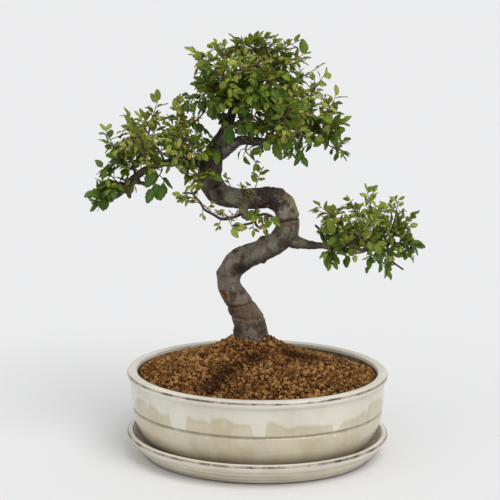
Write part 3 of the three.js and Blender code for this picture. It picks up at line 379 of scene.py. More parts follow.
# Single shoots: the limb or spray, the place on it, the way, the bare length, the leaf's length, the leaves
LONE_SHOOTS = [
    ("trail_twig", 6, (-0.9, -0.3, 0.25), 4, 10, 3), ("trail_twig", 5, (-0.7, -0.5, 0.3), 2, 6.5, 3),
    ("trail_twig", 4.5, (0.1, -0.4, -0.9), 3, 8.5, 1), ("trail_twig", 3.9, (0.7, 0, 0.7), 3, 7.5, 2),
    ("trail_twig", 3.2, (-0.3, -0.6, 0.6), 2, 6, 4), ("trail_twig", 2.6, (0.2, -0.6, 0.5), 2, 6.5, 4),
    ("trail_twig", 2.2, (-0.2, -0.5, -0.7), 2, 6.5, 2), ("trail_twig", 1.7, (0.5, -0.6, -0.8), 4, 14, 1),
    ("trail_twig", 1.2, (0.3, -0.7, 0.6), 2, 7, 3), ("loop_twig", 2.6, (0.3, -0.5, -0.7), 5, 8, 3),
    ("loop_twig", 2.1, (0.6, -0.6, -0.4), 4, 8, 2), ("loop_twig", 3.9, (0.1, -0.5, -0.4), 3, 7, 2),
    ("trunk", 12.7, (-0.1, -0.9, -0.5), 4, 12, 2), ("trunk", 13.4, (-0.3, -0.8, 0.2), 5, 12, 2),
    ("trunk", 16.9, (0.1, -1, -0.3), 5, 15, 1), ("trunk", 18.3, (0.05, -1, -0.3), 4, 14, 1),
    ("low", 2.9, (-0.2, -0.6, -1), 1, 11, 1), ("low", 3.6, (0.1, -0.5, -1), 1, 10, 1),
    ("trunk", 13.1, (0.35, -0.6, 1), 9, 8, 5), ("trunk", 13.9, (-0.3, -0.6, 0.9), 8, 8, 4),
    ("crown_front_mid", 2, (0.3, -0.6, -0.9), 5, 16, 1),
    ("crown_front_mid", 1.5, (0.1, -0.7, -0.9), 7, 16, 1),
    ("crown_front", 2.2, (0.3, -0.5, -0.9), 5, 16, 1), ("crown_hanging", 1, (0.3, -0.7, -0.6), 6, 16, 1),
    ("crown_low_front", 1.6, (0.3, -0.7, -0.5), 4, 16, 1),
    ("right_front", 1.6, (0.4, -0.5, -0.8), 4, 16, 1),
]

# The domes that the foliage fills out: the pad, the middle and the half sizes
DOMES = [
    ("crown", (-10, 14, 301), (41, 39, 35)),
    ("crown", (-54, 8, 290), (14, 14, 8)),
    ("right", (28, 8, 277), (33, 34, 23)),
    ("left", (-76, 8, 256), (37, 30, 23)),
    ("left", (-110, 5, 229), (12, 16, 15)),
    ("low", (78, 2, 190), (27, 26, 19)),
    ("low", (101, 2, 181), (14, 18, 15)),
]
# Clearings among the leaves, for the leader and a hooked branch to show: the middle and the half sizes
CLEARINGS = [((-20, -6, 282), (9, 27, 9)), ((1, -8, 284), (8, 26, 8))]
DOME_LIMBS = ["right", "left", "low", "trunk"]
LEADER_FOOT = 236
DOME_SPACING = 9.7
DOME_SHARE = 0.74
DOME_CLEARANCE = 5.5
DOME_REACH = 32
DOME_LEAVES = 5
LOOSE = 1.9
GOLDEN_ANGLE = math.pi * (3 - math.sqrt(5))

# The bark's relief: heights in millimetres, and the heights on the tree from and over which it turns rough
# and then slight
LUMP_HEIGHT = 0.8
FOLD_HEIGHT = 0.35
GRAIN_HEIGHT = 0.24
WART_HEIGHT = 0.7
CRACK_WIDTH = 0.16
RING_REACH = 20
ROUGH_FROM = 226
ROUGH_OVER = 22
SLIGHT_FROM = 240
SLIGHT_OVER = 30
LEAST_RELIEF = 0.35

# Colours of the finishes, a pair being the two tones that a pattern runs between
THICK_GLAZE = ((0.60, 0.555, 0.445), (0.70, 0.675, 0.575))
THIN_GLAZE = ((0.47, 0.405, 0.265), (0.595, 0.535, 0.38))
GLAZE_STREAK = (0.62, 0.575, 0.45)
GLAZE_RIM = (0.34, 0.27, 0.16)
GLAZE_SPECK = (0.09, 0.05, 0.025)
BARE_EDGE = ((0.20, 0.105, 0.065), (0.045, 0.024, 0.022))
GROOVE_BROWN = (0.235, 0.21, 0.14)
# Painted shade towards the pot's bottom
POT_FOOT_SHADE = (0.30, 0.25, 0.165)
POT_CLAY = ((0.105, 0.090, 0.070), (0.21, 0.18, 0.14))
SAUCER_CREAM = (0.86, 0.83, 0.72)
SAUCER_RIDGE = (0.34, 0.285, 0.185)
SAUCER_POOL = ((0.40, 0.36, 0.28), (0.58, 0.53, 0.43))
# Painted shadow along the saucer's bottom edge
SAUCER_FOOT_SHADOW = (0.07, 0.055, 0.04)
MESH_PLASTIC = ((0.02, 0.024, 0.02), (0.045, 0.05, 0.045))
DRY_CLAY = ((0.145, 0.057, 0.013), (0.32, 0.148, 0.038))
PALE_CLAY = ((0.32, 0.16, 0.046), (0.54, 0.31, 0.11))
# Dark clay, and the painted shade of low granules and of the bed between them
DARK_AND_SHADED_CLAY = ((0.022, 0.008, 0.003), (0.075, 0.027, 0.008))
CLAY_PATCH = (0.12, 0.048, 0.013)
DAMP_CLAY = (0.036, 0.009, 0.003)
TRUNK_BARK = ((0.078, 0.053, 0.034), (0.165, 0.132, 0.096))
BARK_ISLAND = (0.235, 0.212, 0.168)
BARK_HOLLOW = (0.075, 0.042, 0.024)
BARK_PIT = (0.028, 0.019, 0.013)
BARK_FLECK = (0.33, 0.315, 0.27)
LEADER_BARK = ((0.018, 0.012, 0.009), (0.10, 0.072, 0.052))
BARK_PORE = (0.058, 0.026, 0.014)
# Dark of the bark's cracks, partly their own colour and partly painted shade
BARK_CRACK_AND_SHADE = (0.016, 0.011, 0.008)
BARK_RIDGE = (0.30, 0.28, 0.235)
BARK_STAIN = (0.030, 0.018, 0.010)
# Painted shade on the bark's undersides
BARK_UNDERSIDE_SHADE = (0.022, 0.016, 0.012)
OLD_TWIG = ((0.018, 0.012, 0.009), (0.066, 0.045, 0.034))
YOUNG_TWIG = ((0.16, 0.062, 0.034), (0.30, 0.15, 0.075))
YOUNG_LEAF = ((0.37, 0.48, 0.038), (0.62, 0.66, 0.13))
GROWN_LEAF = ((0.100, 0.190, 0.008), (0.24, 0.33, 0.020))
OLD_LEAF = ((0.032, 0.090, 0.008), (0.095, 0.175, 0.020))
LEAF_BLOTCH = (0.14, 0.24, 0.015)
COOL_LEAF = (0.060, 0.185, 0.022)
YELLOW_LEAF = (0.50, 0.34, 0.02)
REDDISH_LEAF = (0.42, 0.17, 0.04)
LEAF_VEIN = (0.30, 0.40, 0.07)
LEAF_EDGE = (0.34, 0.35, 0.05)
LEAF_UNDERSIDE = (0.20, 0.29, 0.06)
LEAF_THROUGH = (0.42, 0.52, 0.04)

# Floor, in metres, and lights: the name, the way to it, its angle in degrees and its power
FLOOR_HALF = 12
FLOOR_LEVEL = -0.0005
FLOOR_COLOR = (0.76, 0.76, 0.762)
SKY_COLOR = (0.98, 0.985, 1)
SKY_POWER = 0.65
LIGHTS = [("key", (0.7, -0.72, 1.5), 38, 1.62), ("fill", (-0.9, -1.0, 0.8), 60, 0.3)]

# Camera
CAMERA_AZIMUTH = math.radians(6)
CAMERA_ELEVATION = math.radians(13.1)
CAMERA_DISTANCE = 1.2
CAMERA_TARGET = Vector((-0.0059, 0, 0.1719))
CAMERA_LENS = 106.6

UP = np.array([0.0, 0.0, 1.0])


# Numbers and vectors

def stream(seed):
    """A repeatable stream of numbers from 0 to 1."""
    state = (seed * 7919) & 0xFFFFFFFF

    def draw():
        nonlocal state
        state = (state * 1664525 + 1013904223) & 0xFFFFFFFF
        return state / 4294967296

    return draw


def unit(vector):
    return vector / np.linalg.norm(vector)


def square_to(direction, other):
    """The part of a direction that is square to another, one unit long."""
    return unit(direction - other * direction.dot(other))


def turned(vector, axis, angle):
    """A vector turned about a unit axis."""
    return (vector * math.cos(angle) + np.cross(axis, vector) * math.sin(angle)
            + axis * axis.dot(vector) * (1 - math.cos(angle)))


def shake(random, amount):
    """A small vector, up to the amount along each axis."""
    return np.array([random() - 0.5, random() - 0.5, random() - 0.5]) * 2 * amount


def limb_point(limb, place):
    """The point [x, y, z, radius] of a limb's smooth path, the place being counted in its points."""
    last = len(limb) - 1
    step = min(int(place), last - 1)
    t = place - step
    p, q, r, s = (np.array(limb[min(max(step + i, 0), last)], float) for i in (-1, 0, 1, 2))
    return q + 0.5 * t * (r - p + t * (2 * p - 5 * q + 4 * r - s + t * (3 * (q - r) + s - p)))


def limb_direction(limb, place):
    """The way that a limb runs at a place on it, as a unit vector."""
    before = limb_point(limb, max(place - 0.1, 0))[:3]
    after = limb_point(limb, min(place + 0.1, len(limb) - 1))[:3]
    return unit(after - before)


def limb_frame(limb, place):
    """The point and the radius of a limb at a place on it, and the way that it runs there."""
    point = limb_point(limb, place)
    return point[:3], point[3], limb_direction(limb, place)


def limb_length(limb):
    points = np.array([point[:3] for point in limb], float)
    return np.linalg.norm(np.diff(points, axis=0), axis=1).sum()


# Meshes

class Net:
    """Corners, faces and per-corner numbers of a mesh, in millimetres."""

    def __init__(self):
        self.points = []
        self.faces = []
        self.values = {}
        self.count = 0

    def add(self, points, *face_sets, **values):
        points = np.asarray(points, float).reshape(-1, 3)
        self.points.append(points)
        for faces in face_sets:
            self.faces.append(faces + self.count)
        for name, value in values.items():
            value = np.broadcast_to(np.asarray(value, float), len(points))
            self.values.setdefault(name, []).append(value)
        self.count += len(points)


def make_mesh(name, net, smooth=True):
    """A mesh in metres."""
    mesh = bpy.data.meshes.new(name)
    points = np.concatenate(net.points) * MM
    mesh.vertices.add(len(points))
    mesh.vertices.foreach_set("co", points.ravel())
    sizes = np.concatenate([np.full(len(faces), faces.shape[1]) for faces in net.faces])
    corners = np.concatenate([faces.ravel() for faces in net.faces])
    mesh.loops.add(len(corners))
    mesh.loops.foreach_set("vertex_index", corners)
    mesh.polygons.add(len(sizes))
    mesh.polygons.foreach_set("loop_start", np.concatenate([[0], np.cumsum(sizes)[:-1]]))
    mesh.polygons.foreach_set("loop_total", sizes)
    mesh.polygons.foreach_set("use_smooth", np.full(len(sizes), smooth))
    for key, values in net.values.items():
        layer = mesh.attributes.new(key, "FLOAT", "POINT")
        layer.data.foreach_set("value", np.concatenate(values).astype(np.float32))
    mesh.update()
    mesh.validate()
    return mesh


def add_object(name, data):
    """A new object in the scene."""
    thing = bpy.data.objects.new(name, data)
    bpy.context.scene.collection.objects.link(thing)
    return thing


def make_piece(name, mesh, material, replaced=()):
    """Puts a mesh into the scene as a finished piece, standing for nodes of the solids."""
    piece = add_object(name, mesh)
    mesh.materials.append(material)
    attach(piece, "root")
    if replaced:
        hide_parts(*replaced)


def repeated(faces, count, corners):
    """The faces of many copies of a shape, each copy having the same number of corners."""
    return (faces[None] + (np.arange(count) * corners)[:, None, None]).reshape(-1, faces.shape[1])


def make_draft(name, net):
    """A working object whose modifiers shape a mesh, to be removed afterwards."""
    return add_object(name + "_draft", make_mesh(name + "_draft", net))


def settled(draft):
    """The mesh that a draft's modifiers make of it."""
    depsgraph = bpy.context.evaluated_depsgraph_get()
    return bpy.data.meshes.new_from_object(draft.evaluated_get(depsgraph))


def ring_angles(sides):
    """The angles of the corners of a ring."""
    return np.arange(sides) * 2 * math.pi / sides


def ring_faces(rings, sides):
    """Four-sided faces between closed rings of corners."""
    ring, side = np.meshgrid(np.arange(rings - 1), np.arange(sides), indexing="ij")
    here = (ring * sides + side).ravel()
    after = (ring * sides + (side + 1) % sides).ravel()
    return np.stack([here, after, after + sides, here + sides], axis=1)


def fan_faces(rings, sides):
    """Three-sided faces that close the first and the last ring, each from its first corner."""
    middle = np.arange(1, sides - 1)
    end = np.full_like(middle, (rings - 1) * sides)
    return np.concatenate([
        np.stack([np.zeros_like(middle), middle + 1, middle], axis=1),
        np.stack([end, end + middle, end + middle + 1], axis=1),
    ])


def pole_faces(rings, sides):
    """Three-sided faces from the first and the last ring to the two poles, which come after the rings."""
    ring = np.arange(sides)
    after = (ring + 1) % sides
    end = (rings - 1) * sides
    pole = np.full_like(ring, rings * sides)
    return np.concatenate([
        np.stack([pole, after, ring], axis=1),
        np.stack([pole + 1, end + ring, end + after], axis=1),
    ])


def add_tube(net, stations, sides, swell=None, **values):
    """Adds a closed tube round stations of [x, y, z, radius], with rounded ends."""
    stations = np.asarray(stations, float)
    centres = stations[:, :3]
    across = np.array([1, 0.2, 0])
    angles = ring_angles(sides)
    rings = []
    for ring, (centre, radius) in enumerate(zip(centres, stations[:, 3])):
        heading = unit(centres[min(ring + 1, len(centres) - 1)] - centres[max(ring - 1, 0)])
        across = square_to(across, heading)
        side = np.cross(heading, across)
        reach = radius if swell is None else radius * swell(angles, centre[2])
        circle = np.outer(np.cos(angles) * reach, across) + np.outer(np.sin(angles) * reach, side)
        if ring == 0:
            rings.append(centre - heading * radius * END_RISE + circle * END_SHARE)
        rings.append(centre + circle)
        if ring == len(centres) - 1:
            rings.append(centre + heading * radius * END_RISE + circle * END_SHARE)
    count = len(rings)
    net.add(np.concatenate(rings), ring_faces(count, sides), fan_faces(count, sides), **values)


# The tree's growth

def stem_face(stem, lean, place):
    """The way that a stem's upper side faces, carried along from its foot without a twist."""
    face = UP + 0.3 * lean
    at = 0
    while at < place:
        face = square_to(face, limb_direction(stem, at))
        at += 0.25
    return square_to(face, limb_direction(stem, place))


def nearest_pad(point):
    """The name of the pad whose middle is nearest."""
    return min(PADS, key=lambda name: np.linalg.norm(point - np.array(PADS[name])))


def outward_from(point):
    """The way from the middle of the nearest pad of foliage to a point."""
    return unit(point - np.array(PADS[nearest_pad(point)]))


def grow_stem(parent, is_round, place, path):
    """The stem of a spray, as limb points: it leaves a limb's side squarely and its end straight on."""
    root, radius, heading = limb_frame(parent, place)
    is_end = place == len(parent) - 1
    first = np.array(path[0], float)
    out = heading if is_end else square_to(first - root, heading)
    side = radius if is_round else radius * math.sqrt(2)
    start = root + out * (ROOT_GAP + (0 if is_end else side))
    knee = start + out * 0.35 * np.linalg.norm(start - first)
    points = [start, knee, *(np.array(point, float) for point in path)]
    thick = min(TWIG_RADIUS + STEM_TAPER * limb_length(points), STEM_RADIUS)
    taper = (thick - TWIG_RADIUS) / (len(points) - 1)
    return [[*point, thick - i * taper] for i, point in enumerate(points)]


Leaf = namedtuple("Leaf", "foot along normal length height place")


def grow_shoot(random, start, radius, direction, flat, face, turn, vigour=1.0, leaf_count=None, loose=1.0):
    """A shoot and its leaves: they leave it on one side and the other by turns, and one ends it."""
    normal = square_to(flat, direction)
    right = np.cross(direction, normal)
    height = outward_from(start)[2]
    shade = max(-height, 0)
    leaf_length = LEAF_LENGTH * (0.75 + 0.5 * random()) * (1 + SHADE_GROWTH * shade) * vigour
    count = leaf_count or (SIDE_SHOOT_LEAVES if turn else END_SHOOT_LEAVES)
    stations = [start]
    for j in range(count):
        step = radius + 1.8 + 0.8 * random() if j == 0 else LEAF_SPACING * leaf_length
        stations.append(stations[j] + direction * step)
    leaves = []
    for j in range(count + 1):
        is_tip = j == count
        leaf_turn = 0 if is_tip else (-1 if j % 2 else 1) * (turn or 1)
        spread = shake(random, 0.2 * loose)
        along = unit(direction * 0.65 + right * 0.85 * leaf_turn + UP * (-0.7 * shade) + spread)
        facing = face + normal * 0.6 + shake(random, 0.45 * loose)
        foot = stations[j] if is_tip else stations[j + 1] - direction
        length = leaf_length * (0.95 if is_tip else 0.85 + 0.3 * random())
        leaves.append(Leaf(foot, along, square_to(facing, along), length, height, j / count))
    return stations, leaves


def grow_spray(stem, index):
    """The shoots of a spray, to left and right of its stem and at its end."""
    random = stream(index + SPRAY_SEED)
    last = len(stem) - 1
    lean = unit(np.array([random() - 0.5, random() - 0.5, 0]))
    shoots = []
    for k in range(SIDE_SHOOTS + 1):
        is_last = k == SIDE_SHOOTS
        place = last if is_last else last * (0.28 + (0.66 * (k + 0.6 * random())) / SIDE_SHOOTS)
        start, radius, forward = limb_frame(stem, place)
        flat = stem_face(stem, lean, place)
        turn = 0 if is_last else (-1 if k % 2 else 1)
        roll = 1.2 * (random() - 0.5)
        side = turned(np.cross(forward, flat), forward, roll)
        climb = 0 if is_last else 0.1 + 0.3 * random()
        direction = unit(forward * (1 if is_last else 0.6) + side * 0.9 * turn + UP * climb)
        face = outward_from(start) * OUTWARD + UP * UPWARD
        shoot = grow_shoot(random, start, 0 if is_last else radius, direction, flat, face, turn)
        if k in KEPT_SHOOTS or outward_from(start)[2] > DEEP_SHADE:
            shoots.append(shoot)
    return shoots


def grow_fresh_shoots(stem, index, count):
    """Short new shoots that stand up between the others, with small leaves."""
    random = stream(index + FRESH_SEED)
    last = len(stem) - 1
    shoots = []
    for k in range(count):
        place = last * (0.2 + 0.78 * (k + random()) / count)
        start, radius, forward = limb_frame(stem, place)
        outward = outward_from(start)
        direction = unit(forward * 0.35 + outward * 0.7 + UP * 0.4 + shake(random, 0.8))
        flat = square_to(UP + shake(random, 0.6), direction)
        face = outward * OUTWARD + UP * UPWARD + shake(random, 0.4)
        vigour = 0.5 + 0.32 * random()
        turn = -1 if k % 2 else 1
        leaves = FRESH_SHOOT_LEAVES
        shoots.append(grow_shoot(random, start, radius, direction, flat, face, turn, vigour, leaves, LOOSE))
    return shoots


def thinned(shoots, index, share, size):
    """Shoots with part of their leaves, drawn to another size about their feet."""
    random = stream(index + THINNING_SEED)
    out = []
    for stations, leaves in shoots:
        start = stations[0]
        kept = [leaf._replace(foot=start + (leaf.foot - start) * size, length=leaf.length * size)
                for leaf in leaves if random() < share]
        stations = [start + (station - start) * size for station in stations]
        out.append((stations, kept))
    return out


def fill_domes(stems, shoots):
    """Twigs that run from the nearest wood out to the gaps in the domes' skin."""
    wood = [point for stem in stems.values() for point in limb_stations(stem, NEAREST_WOOD_STEP)]
    for name in DOME_LIMBS:
        stations = limb_stations(LIMBS[name], NEAREST_WOOD_STEP)
        wood.extend(point for point in stations if name != "trunk" or point[2] > LEADER_FOOT)
    wood = np.array(wood)
    feet = np.array([leaf.foot for *_, leaves in shoots for leaf in leaves])
    for number, (pad, middle, half) in enumerate(DOMES):
        random = stream(number + DOME_SEED)
        middle = np.array(middle, float)
        half = np.array(half, float)
        count = round(4 * math.pi * (half.prod() ** (2 / 3)) / DOME_SPACING ** 2)
        for k in range(count):
            height = 1 - 2 * (k + 0.5) / count
            ring = math.sqrt(1 - height ** 2)
            angle = k * GOLDEN_ANGLE
            way = np.array([ring * math.cos(angle), ring * math.sin(angle), height])
            size = 0.84 + 0.28 * random() - 0.18 * max(-height, 0)
            tip = middle + half * (way + shake(random, 0.08)) * size
            vigour = 0.55 + 0.36 * random()
            turn = 1 if random() < 0.5 else -1
            apart = np.linalg.norm(wood[:, :3] - tip, axis=1)
            nearest = np.argmin(apart)
            is_wanted = random() < DOME_SHARE and apart[nearest] < DOME_REACH
            if not is_wanted or np.linalg.norm(feet - tip, axis=1).min() < DOME_CLEARANCE:
                continue
            start, radius = wood[nearest, :3], wood[nearest, 3]
            direction = unit(tip - start + shake(random, 0.5))
            leafy = DOME_LEAVES * LEAF_SPACING * LEAF_LENGTH * vigour
            bare = max(radius, apart[nearest] - leafy)
            outward = unit(way / half)
            flat = square_to(outward + UP * 0.4 + shake(random, 0.4), direction)
            face = outward * 0.6 + UP * 0.5 + shake(random, 0.5)
            stations, leaves = grow_shoot(
                random, start, bare, direction, flat, face, turn, vigour, DOME_LEAVES, LOOSE)
            leaves = [leaf._replace(length=leaf.length * LEAF_SIZES[pad]) for leaf in leaves]
            shoots.append((pad, stations, leaves))
            feet = np.concatenate([feet, [leaf.foot for leaf in leaves]])


def grow_lone_shoots(stems):
    """The single shoots, as (pad name, stations, leaves)."""
    wood = {**LIMBS, **stems}
    random = stream(LONE_SEED)
    shoots = []
    for limb, place, way, bare, length, count in LONE_SHOOTS:
        point = limb_point(wood[limb], place)
        direction = unit(np.array(way))
        flat = square_to(UP + shake(random, 0.5), direction)
        face = np.array([0, -1, 0.5]) + shake(random, 0.6)
        turn = 1 if random() < 0.5 else -1
        reach = point[3] + bare
        vigour = length / LEAF_LENGTH
        grown = grow_shoot(random, point[:3], reach, direction, flat, face, turn, vigour, count)
        shoots.append((nearest_pad(grown[0][-1]), *grown))
    return shoots


def is_cleared(leaf):
    """Whether the middle of a leaf lies in a clearing."""
    middle = leaf.foot + leaf.along * leaf.length / 2
    return any(np.linalg.norm((middle - centre) / np.array(half)) < 1 for centre, half in CLEARINGS)


def grow_tree():
    """Stems by name, and every shoot as (spray or pad name, stations, leaves)."""
    stems = {}
    shoots = []
    for index, (name, parent, place, *path) in enumerate(SPRAYS):
        is_round = parent in LIMBS
        stem = grow_stem(LIMBS[parent] if is_round else stems[parent], is_round, place, path)
        stems[name] = stem
        share, size, fresh = SPRAY_HABITS.get(name, (1, 1, FRESH_SHOOTS))
        pad_size = LEAF_SIZES[nearest_pad(stem[-1][:3])]
        grown = thinned(grow_spray(stem, index), index, share, size * pad_size)
        grown += thinned(grow_fresh_shoots(stem, index, fresh), index, 1, pad_size)
        shoots.extend((name, stations, leaves) for stations, leaves in grown)
    fill_domes(stems, shoots)
    shoots.extend(grow_lone_shoots(stems))
    shoots = [(name, stations, [leaf for leaf in leaves if not is_cleared(leaf)])
              for name, stations, leaves in shoots]
    return stems, shoots


# Materials

class Finish:
    """A node material with short calls for its nodes."""

    def __init__(self, name):
        self.material = bpy.data.materials.new(name)
        self.material.use_nodes = True
        self.nodes = self.material.node_tree.nodes
        self.links = self.material.node_tree.links
        self.shader = self.nodes["Principled BSDF"]
        self.output = self.nodes["Material Output"]

    def node(self, kind, inputs=None, **settings):
        made = self.nodes.new("ShaderNode" + kind)
        for key, value in settings.items():
            setattr(made, key, value)
        for key, value in (inputs or {}).items():
            self.put(made.inputs[key], value)
        return made

    def put(self, socket, value):
        if isinstance(value, bpy.types.NodeSocket):
            self.links.new(value, socket)
        elif socket.type == "RGBA":
            socket.default_value = (*value, 1)
        else:
            socket.default_value = value

    def position(self):
        return self.node("TexCoord").outputs["Object"]

    def value(self, name):
        return self.node("Attribute", attribute_name=name).outputs["Fac"]

    def math(self, operation, a, b=0.0):
        return self.node("Math", {0: a, 1: b}, operation=operation).outputs[0]

    def vector_math(self, operation, output, *inputs):
        made = self.node("VectorMath", dict(enumerate(inputs)), operation=operation)
        return made.outputs[output]

    def noise(self, scale, detail=4, roughness=0.55, vector=None, distortion=0.0):
        inputs = {"Scale": scale, "Detail": detail, "Roughness": roughness, "Distortion": distortion}
        made = self.node("TexNoise", inputs)
        self.put(made.inputs["Vector"], vector or self.position())
        return made.outputs["Fac"]

    def stretched(self, x, y, z):
        return self.node("Mapping", {"Vector": self.position(), "Scale": (x, y, z)}).outputs[0]

    def span(self, value, low, high, to_low=0.0, to_high=1.0, smooth=True):
        """The value carried from one range to another, kept inside it."""
        kind = "SMOOTHSTEP" if smooth else "LINEAR"
        inputs = {"Value": value, "From Min": low, "From Max": high, "To Min": to_low, "To Max": to_high}
        return self.node("MapRange", inputs, interpolation_type=kind).outputs[0]

    def mix(self, share, a, b):
        made = self.node("Mix", data_type="RGBA")
        self.put(made.inputs[0], share)
        self.put(made.inputs[6], a)
        self.put(made.inputs[7], b)
        return made.outputs[2]

    def mark(self, centre, reach, share, edge):
        """A patch round a point given in millimetres, with a ragged edge."""
        flattened = (1, MARK_DEPTH, 1)
        here = self.vector_math("MULTIPLY", "Vector", self.position(), flattened)
        there = tuple(c * scale * MM for c, scale in zip(centre, flattened))
        apart = self.vector_math("DISTANCE", "Value", here, there)
        apart = self.math("ADD", apart, self.math("MULTIPLY", edge, 0.45 * reach * MM))
        return self.span(apart, 0.55 * reach * MM, 1.05 * reach * MM, share, 0.0)

    def line(self, centre, way, half, run, share, edge):
        """A thin line of colour round a point given in millimetres, square to the way."""
        there = tuple(c * MM for c in centre)
        offset = self.vector_math("SUBTRACT", "Vector", self.position(), there)
        level = self.vector_math("DOT_PRODUCT", "Value", offset, way)
        level = self.math("ABSOLUTE", self.math("ADD", level, self.math("MULTIPLY", edge, 0.6 * MM)))
        apart = self.vector_math("LENGTH", "Value", offset)
        near = self.span(apart, 0.7 * run * MM, run * MM, share, 0.0)
        return self.math("MULTIPLY", near, self.span(level, 0.4 * half * MM, 1.3 * half * MM, 1.0, 0.0))

    def height(self):
        return self.node("SeparateXYZ", {0: self.position()}).outputs[2]

    def bump(self, height, distance, strength, under=None):
        made = self.node("Bump", {"Height": height, "Distance": distance, "Strength": strength})
        if under is not None:
            self.put(made.inputs["Normal"], under)
        return made.outputs[0]

    def finish(self, **inputs):
        for key, value in inputs.items():
            self.put(self.shader.inputs[key.replace("_", " ")], value)
        return self.material


def glaze_finish(name, edge_height, edge_wave, run):
    """Cream glaze, thick and whitish down to a scalloped edge with runs, thin and beige under it."""
    made = Finish(name)
    height = made.height()
    blotch = made.noise(26, 5, 0.6)
    streaks = made.noise(1, 5, 0.6, made.stretched(95, 95, 10))
    thick = made.mix(made.span(blotch, 0.3, 0.7), *THICK_GLAZE)
    thin = made.mix(made.span(blotch, 0.32, 0.68), *THIN_GLAZE)
    thin = made.mix(made.span(streaks, 0.35, 0.7, 0, 0.45), thin, GLAZE_STREAK)
    scallops = made.noise(1, 2, 0.45, made.stretched(36, 36, 3))
    runs = made.span(made.noise(1, 2, 0.5, made.stretched(46, 46, 1.5)), 0.53, 0.66, 0, run * MM)
    wave = made.span(scallops, 0.3, 0.7, -edge_wave * MM, edge_wave * MM)
    level = made.math("ADD", made.math("ADD", height, wave), runs)
    over = made.math("SUBTRACT", level, edge_height * MM)
    color = made.mix(made.span(over, -1.8 * MM, 2.4 * MM), thin, thick)
    rim = made.span(made.math("ABSOLUTE", made.math("ADD", over, 1.2 * MM)), 0.3 * MM, 2.2 * MM, 0.1, 0)
    color = made.mix(rim, color, GLAZE_RIM)
    specks = made.span(made.noise(520, 2, 0.5), 0.73, 0.78)
    color = made.mix(made.math("MULTIPLY", specks, 0.6), color, GLAZE_SPECK)
    return made, height, color


def broken_edge(made, share):
    """Dark brown where the glaze has run off an edge, darker in places."""
    breaks = made.span(made.noise(70, 5, 0.7), 0.35, 0.65)
    share = made.math("MULTIPLY", share, made.span(breaks, 0, 1, 0.55, 1.0, False))
    return share, made.mix(breaks, *BARE_EDGE)


def pot_finish():
    made, height, color = glaze_finish("pot_glaze", edge_height=53, edge_wave=4.5, run=14)
    wobble = made.span(made.noise(90, 3), 0.2, 0.8, -0.5 * MM, 0.5 * MM, False)
    level = made.math("ADD", height, wobble)
    groove = made.math("ABSOLUTE", made.math("SUBTRACT", level, POT_GROOVE_HEIGHT * MM))
    patchy = made.span(made.noise(75, 3), 0.3, 0.6, 0.4, 1.0)
    groove = made.math("MULTIPLY", patchy, made.span(groove, 0.3 * MM, 2.1 * MM, 0.7, 0))
    color = made.mix(groove, color, GROOVE_BROWN)
    share, tint = broken_edge(made, made.span(made.value("arris"), 0.3, 0.75, 0, 1))
    color = made.mix(share, color, tint)
    # Painted shade: darker towards the bottom of the pot, down by the saucer
    foot = made.span(level, 9 * MM, 21 * MM, 0.5, 0)
    color = made.mix(foot, color, POT_FOOT_SHADE)
    inside = made.value("inside")
    clay = made.mix(made.span(made.noise(200, 4), 0.3, 0.7), *POT_CLAY)
    color = made.mix(inside, color, clay)
    rough = made.span(made.noise(45, 4), 0.3, 0.7, 0.12, 0.24)
    rough = made.math("ADD", rough, made.math("MULTIPLY", inside, 0.25))
    bump = made.bump(made.noise(35, 3), 0.9 * MM, 0.35)
    bump = made.bump(made.noise(420, 3), 0.08 * MM, 0.4, bump)
    return made.finish(Base_Color=color, Roughness=rough, Normal=bump, Coat_Weight=0.3, Coat_Roughness=0.06)


def saucer_finish():
    made, height, color = glaze_finish("saucer_glaze", edge_height=14.5, edge_wave=2, run=0)
    color = made.mix(0.22, color, SAUCER_CREAM)
    ridges = made.noise(1, 3, 0.55, made.stretched(9, 9, 330))
    color = made.mix(made.span(ridges, 0.38, 0.52, 0.5, 0), color, SAUCER_RIDGE)
    share, tint = broken_edge(made, made.span(made.value("arris"), 0.2, 0.65, 0, 1))
    color = made.mix(share, color, tint)
    inside = made.value("inside")
    pool = made.mix(made.span(made.noise(30, 4), 0.35, 0.65), *SAUCER_POOL)
    color = made.mix(inside, color, pool)
    # Painted shadow: near black along the bottom edge, where the saucer meets the floor
    foot = made.span(height, 0.4 * MM, 1.6 * MM, 0.85, 0)
    color = made.mix(foot, color, SAUCER_FOOT_SHADOW)
    bump = made.bump(ridges, 0.8 * MM, 0.45)
    bump = made.bump(made.noise(35, 3), 0.9 * MM, 0.3, bump)
    rough = made.span(made.noise(45, 4), 0.3, 0.7, 0.1, 0.22)
    return made.finish(Base_Color=color, Roughness=rough, Normal=bump, Coat_Weight=0.3, Coat_Roughness=0.06)


def mesh_finish():
    made = Finish("mesh_plastic")
    tone = made.span(made.noise(300, 3), 0.3, 0.7)
    color = made.mix(tone, *MESH_PLASTIC)
    bump = made.bump(made.noise(900, 2), 0.05 * MM, 0.5)
    return made.finish(Base_Color=color, Roughness=0.55, Normal=bump)


def soil_finish():
    made = Finish("soil_granules")
    tone = made.value("tone")
    fine = made.noise(900, 4, 0.7)
    dry = made.mix(made.span(fine, 0.3, 0.7), *DRY_CLAY)
    pale = made.mix(made.span(fine, 0.35, 0.7), *PALE_CLAY)
    dark = made.mix(made.span(fine, 0.3, 0.7), *DARK_AND_SHADED_CLAY)
    color = made.mix(made.span(tone, 0.5, 0.75), dry, pale)
    # Low tones darken: partly the clay's own tone, partly painted shade
    color = made.mix(made.span(tone, 0.2, 0.5, 1, 0), color, dark)
    patch = made.span(made.noise(26, 3), 0.38, 0.62, 0.0, 0.4)
    color = made.mix(patch, color, CLAY_PATCH)
    color = made.mix(made.value("damp"), color, DAMP_CLAY)
    bump = made.bump(made.noise(1500, 4, 0.7), 0.35 * MM, 0.8)
    return made.finish(Base_Color=color, Roughness=0.9, Normal=bump, Specular_IOR_Level=0.15)


